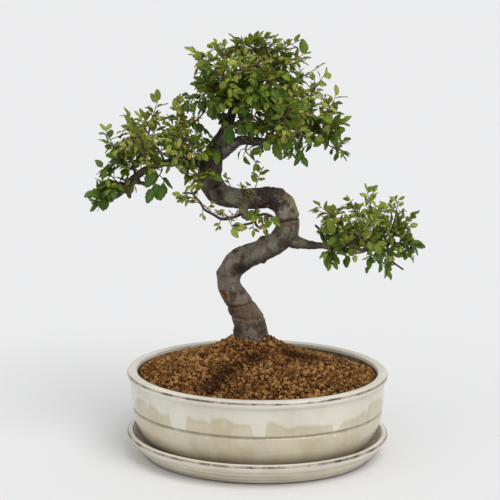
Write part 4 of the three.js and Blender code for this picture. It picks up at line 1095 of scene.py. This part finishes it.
def bark_finish():
    """Grey-brown bark, mottled, with its own marks; dark in its cracks, partly their colour and partly
    painted shade, and painted shade on its undersides.
    """
    made = Finish("elm_bark")
    height = made.height()
    relief = made.value("relief")
    mottle = made.noise(75, 6, 0.65, made.stretched(1, 1, 0.55), 0.4)
    islands = made.noise(150, 5, 0.6, made.stretched(1, 1, 0.7), 0.8)
    fine = made.noise(480, 6, 0.72)
    color = made.mix(made.span(mottle, 0.42, 0.6), *TRUNK_BARK)
    color = made.mix(made.span(islands, 0.53, 0.60, 0, 0.8), color, BARK_ISLAND)
    color = made.mix(made.span(islands, 0.30, 0.38, 0.75, 0), color, BARK_HOLLOW)
    color = made.mix(made.span(fine, 0.28, 0.42, 0.8, 0), color, BARK_PIT)
    color = made.mix(made.span(fine, 0.60, 0.74, 0, 0.45), color, BARK_FLECK)
    leader = made.span(height, 228 * MM, 250 * MM)
    rough_bark = made.mix(made.span(fine, 0.35, 0.65), *LEADER_BARK)
    color = made.mix(made.math("MULTIPLY", leader, 0.82), color, rough_bark)
    edge = made.span(made.noise(330, 4, 0.65), 0.2, 0.8, -1, 1, False)
    for centre, reach, tint, share in BARK_MARKS:
        color = made.mix(made.mark(centre, reach, share, edge), color, tint)
    for centre, way, half, run, tint, share in BARK_LINES:
        color = made.mix(made.line(centre, way, half, run, share, edge), color, tint)
    pores = made.span(made.noise(430, 2, 0.5), 0.60, 0.66, 0, 0.6)
    color = made.mix(pores, color, BARK_PORE)
    # Dark in the relief's cracks: partly the cracks' own colour, partly painted shade
    color = made.mix(made.span(relief, 0.12, 0.42, 0.85, 0), color, BARK_CRACK_AND_SHADE)
    color = made.mix(made.span(relief, 0.62, 0.95, 0, 0.3), color, BARK_RIDGE)
    color = made.mix(0.13, color, BARK_STAIN)
    # Painted shade: darker on the undersides, where the surface faces down
    facing = made.node("SeparateXYZ", {0: made.node("NewGeometry").outputs["Normal"]}).outputs[2]
    color = made.mix(made.span(facing, -0.8, 0.1, 0.6, 0), color, BARK_UNDERSIDE_SHADE)
    bump = made.bump(mottle, 1.2 * MM, 0.6)
    bump = made.bump(islands, 0.7 * MM, 0.8, bump)
    bump = made.bump(fine, 0.5 * MM, 0.9, bump)
    rough = made.span(mottle, 0.4, 0.6, 0.8, 0.6)
    return made.finish(Base_Color=color, Roughness=rough, Normal=bump, Specular_IOR_Level=0.36)


def twig_finish():
    made = Finish("twig_bark")
    fresh = made.value("fresh")
    fine = made.noise(500, 5, 0.65)
    old = made.mix(made.span(fine, 0.3, 0.7), *OLD_TWIG)
    young = made.mix(made.span(fine, 0.3, 0.7), *YOUNG_TWIG)
    color = made.mix(fresh, old, young)
    bump = made.bump(fine, 0.3 * MM, 0.7)
    return made.finish(Base_Color=color, Roughness=0.7, Normal=bump)


def leaf_finish():
    made = Finish("elm_leaf")
    tone = made.value("tone")
    age = made.value("age")
    along = made.value("along")
    side = made.value("side")
    edge = made.math("ABSOLUTE", made.value("across"))
    young = made.mix(tone, *YOUNG_LEAF)
    grown = made.mix(tone, *GROWN_LEAF)
    old = made.mix(tone, *OLD_LEAF)
    color = made.mix(made.span(age, 0.0, 0.5), young, grown)
    color = made.mix(made.span(age, 0.5, 1.0), color, old)
    blotch = made.noise(260, 4, 0.6)
    color = made.mix(made.span(blotch, 0.35, 0.7, 0, 0.3), color, LEAF_BLOTCH)
    cool = made.span(made.noise(24, 2, 0.5), 0.42, 0.62, 0, 0.45)
    color = made.mix(made.math("MULTIPLY", cool, made.span(age, 0.2, 0.6)), color, COOL_LEAF)
    yellow = made.math("MULTIPLY", made.value("yellow"), made.span(blotch, 0.25, 0.6))
    color = made.mix(yellow, color, YELLOW_LEAF)
    sweep = made.math("SUBTRACT", along, made.math("MULTIPLY", edge, 0.16))
    ribs = made.math("FRACT", made.math("MULTIPLY", sweep, LEAF_RIBS))
    ribs = made.math("ABSOLUTE", made.math("SUBTRACT", ribs, 0.5))
    vein = made.span(ribs, 0.36, 0.48)
    reddish = made.math("MULTIPLY", made.span(along, 0.5, 1.0), made.span(age, 0.05, 0.3, 0.5, 0))
    color = made.mix(reddish, color, REDDISH_LEAF)
    midrib = made.span(edge, 0.03, 0.12, 1, 0)
    veins = made.math("MAXIMUM", midrib, made.math("MULTIPLY", vein, 0.4))
    color = made.mix(made.math("MULTIPLY", veins, 0.42), color, LEAF_VEIN)
    color = made.mix(made.span(edge, 0.8, 1.0, 0, 0.25), color, LEAF_EDGE)
    color = made.mix(made.math("MULTIPLY", side, 0.5), color, LEAF_UNDERSIDE)
    height = made.math("SUBTRACT", made.math("MULTIPLY", blotch, 0.3), veins)
    bump = made.bump(height, 0.35 * MM, 0.8)
    rough = made.span(blotch, 0.3, 0.7, 0.28, 0.42)
    made.finish(Base_Color=color, Roughness=rough, Normal=bump, Specular_IOR_Level=0.34)
    through = made.node("BsdfTranslucent")
    made.put(through.inputs["Color"], made.mix(0.6, color, LEAF_THROUGH))
    blend = made.node("MixShader", {0: 0.29})
    made.links.new(made.shader.outputs[0], blend.inputs[1])
    made.links.new(through.outputs[0], blend.inputs[2])
    made.links.new(blend.outputs[0], made.output.inputs["Surface"])
    return made.material


# Saucer and pot

def rounded(corners):
    """A profile through corners of (half length, height, rounding), each turned by a smooth curve."""
    places = [np.array(corner[:2], float) for corner in corners]
    line = [places[0]]
    for before, here, after, corner in zip(places, places[1:], places[2:], corners[1:]):
        into, out = here - before, after - here
        reach_in = min(corner[2], 0.45 * np.linalg.norm(into))
        reach_out = min(corner[2], 0.45 * np.linalg.norm(out))
        first = here - unit(into) * reach_in
        last = here + unit(out) * reach_out
        for t in np.linspace(0, 1, ROUNDING_STEPS + 1):
            line.append(first * (1 - t) ** 2 + here * 2 * t * (1 - t) + last * t * t)
    line.append(places[-1])
    return np.array(line)


def dense(line, longest):
    """The same line with no step longer than the given one."""
    out = [line[0]]
    for before, after in zip(line, line[1:]):
        steps = max(1, math.ceil(np.linalg.norm(after - before) / longest))
        out.extend(before + (after - before) * (i + 1) / steps for i in range(steps))
    return np.array(out)


def oval_net(line, drawn_in, **values):
    """A closed profile turned round the upright axis and drawn in to a wavering oval, with two poles."""
    net = Net()
    angles = ring_angles(OVAL_SIDES)
    inner = line[1:-1]
    share = 1 - drawn_in / np.maximum(inner[:, 0], OVAL_CORE)
    waves = 0.5 * np.cos(3 * angles + 2) + 0.3 * np.cos(5 * angles + 4) + 0.2 * np.cos(11 * angles)
    waver = 1 + WAVER * waves
    x = np.outer(inner[:, 0], np.cos(angles) * waver)
    y = np.outer(inner[:, 0] * share, np.sin(angles) * waver)
    z = np.repeat(inner[:, 1:2], OVAL_SIDES, axis=1)
    points = np.stack([x, y, z], axis=2).reshape(-1, 3)
    poles = np.array([[0, 0, line[0][1]], [0, 0, line[-1][1]]])
    spread = {name: np.concatenate([np.repeat(value[1:-1], OVAL_SIDES), [value[0], value[-1]]])
              for name, value in values.items()}
    rings = len(inner)
    corners = np.concatenate([points, poles])
    net.add(corners, ring_faces(rings, OVAL_SIDES), pole_faces(rings, OVAL_SIDES), **spread)
    return net


def closeness(line, corner, reach):
    """How near each point of a profile lies to a corner, from 1 there to 0 at the reach."""
    return np.clip(1 - np.linalg.norm(line - np.array(corner), axis=1) / reach, 0, 1)


def glazed_net(corners, longest, drawn_in, edges, inner_top):
    """The net of a dish from its profile, with the worn edges and the inner side below a height marked."""
    line = dense(rounded(corners), longest)
    arris = np.max([share * closeness(line, corner, reach) for corner, reach, share in edges], axis=0)
    is_inner = np.arange(len(line)) > np.argmax(line[:, 1])
    inside = (is_inner & (line[:, 1] < inner_top)).astype(float)
    return oval_net(line, drawn_in, arris=arris, inside=inside)


def make_saucer(material):
    inner_rim = SAUCER_RIM - SAUCER_WALL
    corners = [
        (0, 1.2, 0), (SAUCER_FOOT - 8, 1.2, 1), (SAUCER_FOOT - 7, 0, 1), (SAUCER_FOOT, 0, 1),
        (SAUCER_FOOT + 1.5, 2, 2), (SAUCER_FOOT + 9, 10, 8), (SAUCER_RIM - 0.6, SAUCER_TOP - 3.5, 2),
        (SAUCER_RIM, SAUCER_TOP - 1.2, 1.2), (SAUCER_RIM - 2.4, SAUCER_TOP, 1.6),
        (inner_rim + 1.2, SAUCER_TOP, 1.4), (inner_rim - 0.4, SAUCER_TOP - 2, 1.4),
        (SAUCER_FOOT + 2, SAUCER_FLOOR + 3.4, 6), (SAUCER_FOOT - 9, SAUCER_FLOOR, 5), (0, SAUCER_FLOOR, 0),
    ]
    edges = [((SAUCER_RIM, SAUCER_TOP - 0.6), 2.6, 1), ((inner_rim + 0.4, SAUCER_TOP - 0.4), 1.8, 0.8)]
    net = glazed_net(corners, 5, SAUCER_DRAWN_IN, edges, SAUCER_TOP - 2)
    make_piece("saucer_glazed", make_mesh("saucer_glazed", net), material, ["saucer"])


def make_pot(material):
    lip_inner = POT_RIM - POT_LIP
    lip_foot = POT_TOP - POT_LIP_HEIGHT
    corners = [
        (0, POT_UNDERSIDE, 0), (POT_FOOT - 3, POT_UNDERSIDE, 2), (POT_FOOT + 4, POT_UNDERSIDE + 1.6, 4),
        (POT_FOOT + 13, POT_UNDERSIDE + 8.5, 9), (POT_GROOVE - 1.2, POT_GROOVE_HEIGHT - 10, 10),
        (POT_GROOVE, POT_GROOVE_HEIGHT - 1.6, 0.9), (POT_GROOVE - POT_GROOVE_DEPTH, POT_GROOVE_HEIGHT, 0.7),
        (POT_GROOVE + 0.5, POT_GROOVE_HEIGHT + 1.6, 0.9), (POT_UNDER_LIP - 0.6, lip_foot - 5, 5),
        (POT_UNDER_LIP - 0.4, lip_foot - 0.8, 1.2), (POT_RIM - 0.7, lip_foot + 0.6, 1.4),
        (POT_RIM, POT_TOP - 3, 1.8), (POT_RIM - 1.6, POT_TOP - 0.5, 1.8),
        (POT_RIM - POT_LIP / 2, POT_TOP, 3), (lip_inner + 1, POT_TOP - 0.6, 1.4),
        (lip_inner, POT_TOP - 2.4, 1.4), (POT_GROOVE - POT_WALL, POT_GROOVE_HEIGHT, 6),
        (POT_FOOT + 5, POT_FLOOR + 6, 8), (POT_FOOT - 8, POT_FLOOR, 8), (0, POT_FLOOR, 0),
    ]
    edges = [((POT_RIM - 0.2, POT_TOP - 1.6), 2.4, 1), ((lip_inner + 0.4, POT_TOP - 1.2), 1.8, 0.7)]
    net = glazed_net(corners, 4, POT_DRAWN_IN, edges, POT_TOP - 3)
    feet = Net()
    bottom = SAUCER_FLOOR + 0.3
    top = POT_UNDERSIDE + 1
    foot = rounded([(0, bottom, 0), (FOOT_RADIUS - 0.6, bottom, 1), (FOOT_RADIUS, top, 0.5), (0, top, 0)])
    for x, y in FOOT_PLACES:
        add_turned(feet, foot, x, y, inside=0)
    holes = Net()
    bottom = POT_UNDERSIDE - 1
    top = POT_FLOOR + 1
    hole = np.array([(0, bottom), (HOLE_RADIUS, bottom), (HOLE_RADIUS, top), (0, top)])
    for x in (-HOLE_PLACE, HOLE_PLACE):
        add_turned(holes, hole, x, 0, inside=1)
    mesh = joined("pot_glazed", net, [("UNION", feet), ("DIFFERENCE", holes)])
    make_piece("pot_glazed", mesh, material, ["pot"])


def joined(name, net, others):
    """One mesh of a net with others joined to it or cut from it."""
    draft = make_draft(name, net)
    helpers = []
    for operation, other in others:
        helper = make_draft(f"{name}_{operation.lower()}", other)
        helpers.append(helper)
        step = draft.modifiers.new(operation.lower(), "BOOLEAN")
        step.operation = operation
        step.solver = "EXACT"
        step.object = helper
    mesh = settled(draft)
    for helper in [draft, *helpers]:
        bpy.data.objects.remove(helper)
    mesh.name = name
    return mesh


def add_turned(net, line, x, y, inside):
    """Adds a profile turned round an upright axis at (x, y)."""
    angles = ring_angles(TURNED_SIDES)
    inner = line[1:-1]
    points = np.stack([
        x + np.outer(inner[:, 0], np.cos(angles)), y + np.outer(inner[:, 0], np.sin(angles)),
        np.repeat(inner[:, 1:2], TURNED_SIDES, axis=1),
    ], axis=2)
    rings = len(inner)
    net.add(points, ring_faces(rings, TURNED_SIDES), fan_faces(rings, TURNED_SIDES), arris=0, inside=inside)


# Soil

def soil_height(x, y):
    """Height of the soil's surface, without its granules."""
    trunk_x, trunk_y = LIMBS["trunk"][2][:2]
    inner = POT_RIM - POT_LIP
    outward = (x / inner) ** 2 + (y / (inner - POT_DRAWN_IN)) ** 2
    from_trunk = np.hypot(x - trunk_x, y - trunk_y) / SOIL_COLLAR_REACH
    sink_x, sink_y, depth, reach = SOIL_SINK
    from_sink = np.hypot(x - sink_x, y - sink_y) / reach
    return (SOIL_EDGE + SOIL_HEAP * (1 - np.minimum(outward, 1)) + SOIL_COLLAR * np.exp(-(from_trunk ** 2))
            - depth * np.exp(-(from_sink ** 2)))


def make_soil_bed(material):
    """The body of soil under the loose granules, with a rough top."""
    side = POT_RIM - POT_LIP - 0.3
    angles = ring_angles(SOIL_BED_SIDES)
    rows = []
    for ring in range(1, SOIL_BED_RINGS + 1):
        half = side * ring / SOIL_BED_RINGS
        x = half * np.cos(angles)
        y = half * (side - POT_DRAWN_IN) / side * np.sin(angles)
        z = soil_height(x, y) - SOIL_BED
        rough = [noise.noise(Vector((a, b, 0)) * 0.35) for a, b in zip(x, y)]
        rows.append(np.stack([x, y, z + np.array(rough) * SOIL_ROUGHNESS], axis=1))
    for inset, height in [(1.8, POT_GROOVE_HEIGHT), (12, SOIL_BOTTOM + 8), (22, SOIL_BOTTOM)]:
        half = side - inset
        x = half * np.cos(angles)
        y = (half - POT_DRAWN_IN) * np.sin(angles)
        rows.append(np.stack([x, y, np.full(SOIL_BED_SIDES, height)], axis=1))
    poles = np.array([[0, 0, soil_height(0, 0) - SOIL_BED], [0, 0, SOIL_BOTTOM]])
    grid = ring_faces(len(rows), SOIL_BED_SIDES)[:, ::-1]
    caps = pole_faces(len(rows), SOIL_BED_SIDES)[:, [0, 2, 1]]
    net = Net()
    # Tone 0 and half damp make the bed dark: painted shade in the gaps between the granules
    net.add(np.concatenate([*rows, poles]), grid, caps, tone=0, damp=0.5)
    make_piece("soil_bed", make_mesh("soil_bed", net), material, ["soil"])


def crumb(steps):
    """Corners and faces of a rounded block, which every granule is a squeezed and roughened copy of."""
    points, faces = {}, []

    def corner(place):
        return points.setdefault(tuple(place), len(points))

    for axis in range(3):
        for sign in (-1, 1):
            for i in range(steps):
                for j in range(steps):
                    quad = []
                    for a, b in [(i, j), (i + 1, j), (i + 1, j + 1), (i, j + 1)]:
                        place = [0, 0, 0]
                        place[axis] = sign
                        place[(axis + 1) % 3] = 2 * a / steps - 1
                        place[(axis + 2) % 3] = 2 * b / steps - 1
                        quad.append(corner(place))
                    faces.append(quad if sign > 0 else quad[::-1])
    places = np.array(list(points), float)
    return places / np.linalg.norm(places, axis=1)[:, None] ** 0.85, np.array(faces)


def add_crumbs(net, rng, places, radius, lift, steps):
    """Adds a crumb at each place on the soil, each of its own shape, turn and tone, the low ones darker as
    painted shade.
    """
    count = len(places)
    shape, faces = crumb(steps)
    squeeze = rng.uniform(0.66, 1.2, (count, 1, 3))
    rough = rng.uniform(0.74, 1.18, (count, len(shape), 1))
    turns = random_turns(rng, count)
    corners = np.einsum("nij,nkj->nki", turns, shape[None] * squeeze * rough * radius[:, None, None])
    heights = soil_height(places[:, 0], places[:, 1]) + lift
    corners += np.concatenate([places, heights[:, None]], axis=1)[:, None, :]
    damp = damp_share(places[:, 0], places[:, 1]) * rng.uniform(0.6, 1, count)
    # Tone partly at random, partly by height: the lower granules darker, painted shade
    tone = np.clip(LOW_TONE * rng.random(count) + (1 - LOW_TONE) * (0.5 + lift / 1.6), 0, 1)
    tone, damp = np.repeat(tone, len(shape)), np.repeat(damp, len(shape))
    net.add(corners, repeated(faces, count, len(shape)), tone=tone, damp=damp)


def make_granules(material):
    """Loose baked-clay granules over the whole surface, with small crumbs between and on them."""
    rng = np.random.default_rng(GRANULE_SEED)
    half_x = POT_RIM - POT_LIP - 1.6
    half_y = half_x - POT_DRAWN_IN
    trunk = np.array(LIMBS["trunk"][2][:2])

    def in_oval(x, y):
        return (x / half_x) ** 2 + (y / half_y) ** 2 < 1

    def off_trunk(points):
        return np.hypot(*(points - trunk).T) > TRUNK_CLEARANCE

    row_step = GRAIN_SPACING * math.sqrt(0.75)
    places = []
    for row in range(int(2 * half_y / row_step) + 1):
        for column in range(int(2 * half_x / GRAIN_SPACING) + 1):
            x = -half_x + (column + (row % 2) / 2) * GRAIN_SPACING
            y = -half_y + row * row_step
            if in_oval(x, y):
                places.append((x, y))
    places = np.array(places) + rng.uniform(-0.9, 0.9, (len(places), 2))
    places = places[off_trunk(places)]
    small = rng.uniform(-1, 1, (CRUMBS, 2)) * (half_x, half_y)
    small = small[in_oval(*small.T) & off_trunk(small)]
    half = len(places) // 2
    for part, chosen in enumerate([places[:half], places[half:]]):
        net = Net()
        radius = GRAIN_RADIUS * rng.uniform(0.6, 1.3, len(chosen))
        lift = rng.uniform(-1.0, 0.6, len(chosen))
        add_crumbs(net, rng, chosen, radius, lift, 2)
        if part == 0:
            radius = rng.uniform(0.35, 0.85, len(small))
            lift = rng.uniform(-0.8, 0.8, len(small))
            add_crumbs(net, rng, small, radius, lift, 1)
        name = f"soil_granules_{part + 1}"
        make_piece(name, make_mesh(name, net, False), material)


def damp_share(x, y):
    """Where the soil is dark and damp: a few hollows."""
    share = np.zeros_like(x)
    for centre_x, centre_y, reach in DAMP_PLACES:
        share = np.maximum(share, np.exp(-(np.hypot(x - centre_x, y - centre_y) / reach) ** 2))
    return np.minimum(1.6 * share, 1)


def random_turns(rng, count):
    """Rotation matrices in every direction alike."""
    q = rng.normal(size=(count, 4))
    q /= np.linalg.norm(q, axis=1)[:, None]
    w, x, y, z = q.T
    return np.stack([
        np.stack([1 - 2 * (y * y + z * z), 2 * (x * y - z * w), 2 * (x * z + y * w)], axis=1),
        np.stack([2 * (x * y + z * w), 1 - 2 * (x * x + z * z), 2 * (y * z - x * w)], axis=1),
        np.stack([2 * (x * z - y * w), 2 * (y * z + x * w), 1 - 2 * (x * x + y * y)], axis=1),
    ], axis=1)


# Wood

def trunk_swell(angle, z):
    """The trunk isn't round: it is oval in section, lobed at its foot, and twists as it climbs."""
    foot = math.exp(-(((z - 88) / 14) ** 2))
    lobes = 0.07 * foot * np.cos(5 * angle + 1)
    return 1 + 0.05 * np.cos(2 * angle + z / 40) + 0.03 * np.cos(3 * angle - z / 22) + lobes


def limb_stations(limb, step):
    """Points all along a limb, about a step apart."""
    rings = max(round(limb_length(limb) / step), 2)
    return [limb_point(limb, i / rings * (len(limb) - 1)) for i in range(rings + 1)]


def make_wood(material):
    """Trunk and limbs as one skin, grown together and roughened."""
    net = Net()
    for name, limb in LIMBS.items():
        if name in THIN_LIMBS:
            continue
        stations = limb_stations(limb, LIMB_STEP)
        if name == "trunk":
            add_tube(net, stations, TRUNK_SIDES, trunk_swell)
        else:
            add_tube(net, stations, LIMB_SIDES)
    rough = make_draft("wood", net)
    remesh = rough.modifiers.new("skin", "REMESH")
    remesh.mode = "VOXEL"
    remesh.voxel_size = BARK_VOXEL * MM
    remesh.use_smooth_shade = True
    smooth = rough.modifiers.new("ease", "SMOOTH")
    smooth.factor = 0.5
    smooth.iterations = 4
    mesh = settled(rough)
    bpy.data.objects.remove(rough)
    mesh.name = "wood_bark"
    count = len(mesh.vertices)
    points = np.empty(count * 3)
    normals = np.empty(count * 3)
    mesh.vertices.foreach_get("co", points)
    mesh.vertices.foreach_get("normal", normals)
    points, normals = points.reshape(-1, 3), normals.reshape(-1, 3)
    reliefs = np.array([bark_relief(point / MM) for point in points])
    points = points + normals * (reliefs[:, 0] * MM)[:, None]
    mesh.vertices.foreach_set("co", points.ravel())
    layer = mesh.attributes.new("relief", "FLOAT", "POINT")
    layer.data.foreach_set("value", np.clip(0.5 + reliefs[:, 1], 0, 1).astype(np.float32))
    mesh.update()
    make_piece("wood_bark", mesh, material, ["wood"])


def bark_relief(point):
    """Height of the bark's relief at a point, in millimetres, and a measure of the fine part of it."""
    x, y, z = point
    place = Vector((x, y, z))
    lumps = noise.noise(Vector((x, y, z * 0.7)) / 9)
    folds = noise.noise(Vector((x, y, z * 0.5)) / 4 + Vector((7, 3, 1)))
    grain = noise.noise(place / 1.9)
    warts = max(noise.noise(place / 2.4 + Vector((5, 1, 8))) - 0.3, 0)
    valleys = abs(noise.noise(Vector((x, y, z * 0.4)) / 3.2 + Vector((3, 9, 5))))
    cracks = max(CRACK_WIDTH - valleys, 0) / CRACK_WIDTH
    rough = min(max((z - ROUGH_FROM) / ROUGH_OVER, 0), 1)
    for rough_x, rough_y, rough_z, reach in ROUGH_BARK:
        apart = ((x - rough_x) ** 2 + (y - rough_y) ** 2 + (z - rough_z) ** 2) / reach ** 2
        if apart < 4:
            rough = max(rough, math.exp(-apart))
    share = 1 if z < SLIGHT_FROM else max(LEAST_RELIEF, 1 - (z - SLIGHT_FROM) / SLIGHT_OVER)
    fine = GRAIN_HEIGHT * grain + WART_HEIGHT * warts * (1 - rough)
    fine = fine - (0.1 + 0.9 * rough) * cracks + 0.5 * rough * grain
    relief = (LUMP_HEIGHT * lumps + FOLD_HEIGHT * folds + fine) * share
    for knob_x, knob_y, knob_z, reach, rise in BARK_KNOBS:
        apart = ((x - knob_x) ** 2 + (y - knob_y) ** 2 + (z - knob_z) ** 2) / reach ** 2
        if apart < 6:
            relief += rise * math.exp(-apart)
    for middle, way, depth in BARK_RINGS:
        offset = place - Vector(middle)
        if offset.length < RING_REACH:
            level = offset.dot(Vector(way).normalized()) + 0.6 * folds
            relief -= depth * math.exp(-(level ** 2))
    return relief, 0.55 * fine


def make_uneven(stations, share, size=1):
    """Draws a twig to another thickness and lets it swell and shrink along its length."""
    for station in stations:
        station[3] *= size * (1 + share * noise.noise(Vector(station[:3]) / 2.5))


def make_twigs(stems, shoots, material):
    """Thin limbs, the sprays' stems and the shoots."""
    net = Net()
    for name in THIN_LIMBS:
        stations = limb_stations(LIMBS[name], STEM_STEP)
        make_uneven(stations, 0.18)
        add_tube(net, stations, THIN_LIMB_SIDES, fresh=0.0)
    for stem in stems.values():
        stations = limb_stations(stem, STEM_STEP)
        first = np.array(stations[0])
        first[:3] -= limb_direction(stem, 0) * (ROOT_GAP + 1)
        stations = [first] + stations
        make_uneven(stations, 0.2, 0.9)
        add_tube(net, stations, STEM_SIDES, fresh=0.15)
    for _, stations, _ in shoots:
        radii = np.linspace(*SHOOT_RADII, len(stations))
        stations = [[*place, radius] for place, radius in zip(stations, radii)]
        add_tube(net, stations, SHOOT_SIDES, fresh=0.8)
    make_piece("twigs", make_mesh("twigs", net), material)


# Leaves

def leaf_faces(rows, columns):
    """Faces of one leaf: an upper and a lower sheet of corners that meet at the edge."""
    upper = np.arange((rows + 1) * columns).reshape(rows + 1, columns)
    lower = upper.copy()
    lower[1:-1, 1:-1] = np.arange((rows - 1) * (columns - 2)).reshape(rows - 1, columns - 2) + upper.size
    top = np.stack([upper[:-1, :-1], upper[:-1, 1:], upper[1:, 1:], upper[1:, :-1]], axis=2)
    bottom = np.stack([lower[:-1, :-1], lower[1:, :-1], lower[1:, 1:], lower[:-1, 1:]], axis=2)
    return np.concatenate([top.reshape(-1, 4), bottom.reshape(-1, 4)])[:, ::-1]


def leaf_outline(v):
    """Half width of a leaf, as a share of its length: a stalk, then a blade broadest below its middle."""
    blade = np.clip((v - 0.09) / 0.91, 0, 1)
    return 0.74 * blade ** 0.6 * (1 - blade) ** 0.8


def add_leaves(net, rng, leaves, grid):
    """Adds leaves to a net, each folded, arched, twisted, waved and toothed a little differently."""
    rows, columns = grid
    count = len(leaves)
    foot, along, normal, length, height, place = (np.array(column) for column in zip(*leaves))
    sunny = np.maximum(height, 0)
    shade = np.maximum(-height, 0)
    length = length * (1 - 0.25 * sunny) * (1 - 0.2 * shade * rng.random(count))
    length = length * rng.uniform(*SCALE_RANGE, count)
    left = np.cross(normal, along)
    v = np.linspace(0, 1, rows + 1)[None, :, None]
    u = np.linspace(-1, 1, columns)[None, None]
    rim = (np.abs(u) == 1) * np.ones_like(v)

    def each(low, high):
        return rng.uniform(low, high, count)[:, None, None]

    size = length[:, None, None]
    breadth = each(*BREADTH_RANGE)
    fold = each(*FOLD_RANGE)
    arch = each(*ARCH_RANGE) * LEAF_ARCH
    wave = each(*WAVE_RANGE)
    phase = each(0, 6.28)
    twist = rng.normal(0, USUAL_TWIST, count)[:, None, None]
    tooth = 1 - TOOTH_DEPTH * rim * (np.arange(rows + 1) % 2 == 0)[None, :, None]
    half = np.maximum(leaf_outline(v) * breadth * size, 0.012 * size)
    half[:, :2] = STALK_HALF
    side = half * tooth * u
    ahead = v * size + TOOTH_REACH * size * rim * (tooth == 1) * (v > 0.15) * (v < 0.95)
    rise = fold * np.abs(side) - arch * size * v ** 2 + np.tan(twist) * v * side
    rise = rise + wave * size * np.sin(9 * v + phase) * u ** 2
    thick = np.where(v < 0.12, STALK_THICKNESS, BLADE_THICKNESS) * (1 - rim)
    foot, along, left, normal = (column[:, None, None] for column in (foot, along, left, normal))
    flat = foot + along * ahead[..., None] + left * side[..., None]

    def sheet(offset):
        return flat + normal * (rise + offset)[..., None]

    lower = sheet(-thick)[:, 1:-1, 1:-1]
    points = np.concatenate([sheet(thick).reshape(count, -1, 3), lower.reshape(count, -1, 3)], axis=1)
    per = points.shape[1]
    upper = (rows + 1) * columns
    grid_v, grid_u = np.broadcast_arrays(v[0], u[0])

    def spread(values):
        return np.tile(np.concatenate([values.ravel(), values[1:-1, 1:-1].ravel()]), count)

    age = 0.45 + (length - 8) / 15 + 0.22 * shade - 0.5 * sunny - 0.12 * place + rng.normal(0, 0.24, count)
    yellow = np.where(rng.random(count) < YELLOW_SHARE, rng.uniform(0.3, 0.8, count), 0)
    net.add(points, repeated(leaf_faces(rows, columns), count, per),
            across=spread(grid_u), along=spread(grid_v), side=np.tile(np.arange(per) >= upper, count),
            age=np.repeat(np.clip(age, 0, 1), per), tone=np.repeat(rng.random(count), per),
            yellow=np.repeat(yellow, per))


def make_leaves(shoots, material):
    """Two pieces of leaves for each pad, large and small, the large ones standing for that pad's sprays."""
    rng = np.random.default_rng(LEAF_SEED)
    home = {}
    for name, stations, leaves in shoots:
        home.setdefault(name, name if name in PADS else nearest_pad(stations[-1]))
    for pad in PADS:
        leaves = [leaf for name, stations, group in shoots if home[name] == pad for leaf in group]
        small = [leaf for leaf in leaves if leaf.length < SMALL_LEAF]
        large = [leaf for leaf in leaves if leaf.length >= SMALL_LEAF]
        replaced = ["spray_" + name for name in home if home[name] == pad and name not in PADS]
        for piece_name, chosen, grid, nodes in [
            (f"leaves_{pad}", large, LEAF_GRID, replaced),
            (f"leaves_{pad}_young", small, SMALL_LEAF_GRID, []),
        ]:
            net = Net()
            add_leaves(net, rng, chosen, grid)
            make_piece(piece_name, make_mesh(piece_name, net), material, nodes)


# Stage

def make_stage():
    """A plain pale floor, a pale sky and two soft lights."""
    mesh = bpy.data.meshes.new("floor")
    square = [(-1, -1), (1, -1), (1, 1), (-1, 1)]
    corners = [(x * FLOOR_HALF, y * FLOOR_HALF, FLOOR_LEVEL) for x, y in square]
    mesh.from_pydata(corners, [], [(0, 1, 2, 3)])
    floor = add_object("floor", mesh)
    made = Finish("floor_paint")
    mesh.materials.append(made.finish(Base_Color=FLOOR_COLOR, Roughness=0.9))
    world = bpy.data.worlds.new("studio")
    bpy.context.scene.world = world
    world.use_nodes = True
    background = world.node_tree.nodes["Background"]
    background.inputs["Color"].default_value = (*SKY_COLOR, 1)
    background.inputs["Strength"].default_value = SKY_POWER
    for name, way, angle, power in LIGHTS:
        light = bpy.data.lights.new(name, "SUN")
        light.angle = math.radians(angle)
        light.energy = power
        look_along(add_object(name, light), -Vector(way))


def look_along(thing, way):
    """Turns a lamp or the camera to look along a way, with its top up."""
    thing.rotation_mode = "QUATERNION"
    thing.rotation_quaternion = way.to_track_quat("-Z", "Y")


def make_camera():
    """The camera, which looks a little down on the tree."""
    data = bpy.data.cameras.new("camera")
    data.lens = CAMERA_LENS
    camera = add_object("camera", data)
    back = Vector((
        math.sin(CAMERA_AZIMUTH) * math.cos(CAMERA_ELEVATION),
        -math.cos(CAMERA_AZIMUTH) * math.cos(CAMERA_ELEVATION),
        math.sin(CAMERA_ELEVATION),
    ))
    camera.location = CAMERA_TARGET + back * CAMERA_DISTANCE
    look_along(camera, -back)
    bpy.context.scene.camera = camera


make_camera()
make_stage()
bpy.context.scene.view_settings.view_transform = "Standard"

make_saucer(saucer_finish())
make_pot(pot_finish())
plastic = mesh_finish()
for side in ("left", "right"):
    for material_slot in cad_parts[f"drain_mesh_{side}"].material_slots:
        material_slot.material = plastic
granular = soil_finish()
make_soil_bed(granular)
make_granules(granular)
make_wood(bark_finish())
stems, shoots = grow_tree()
make_twigs(stems, shoots, twig_finish())
make_leaves(shoots, leaf_finish())
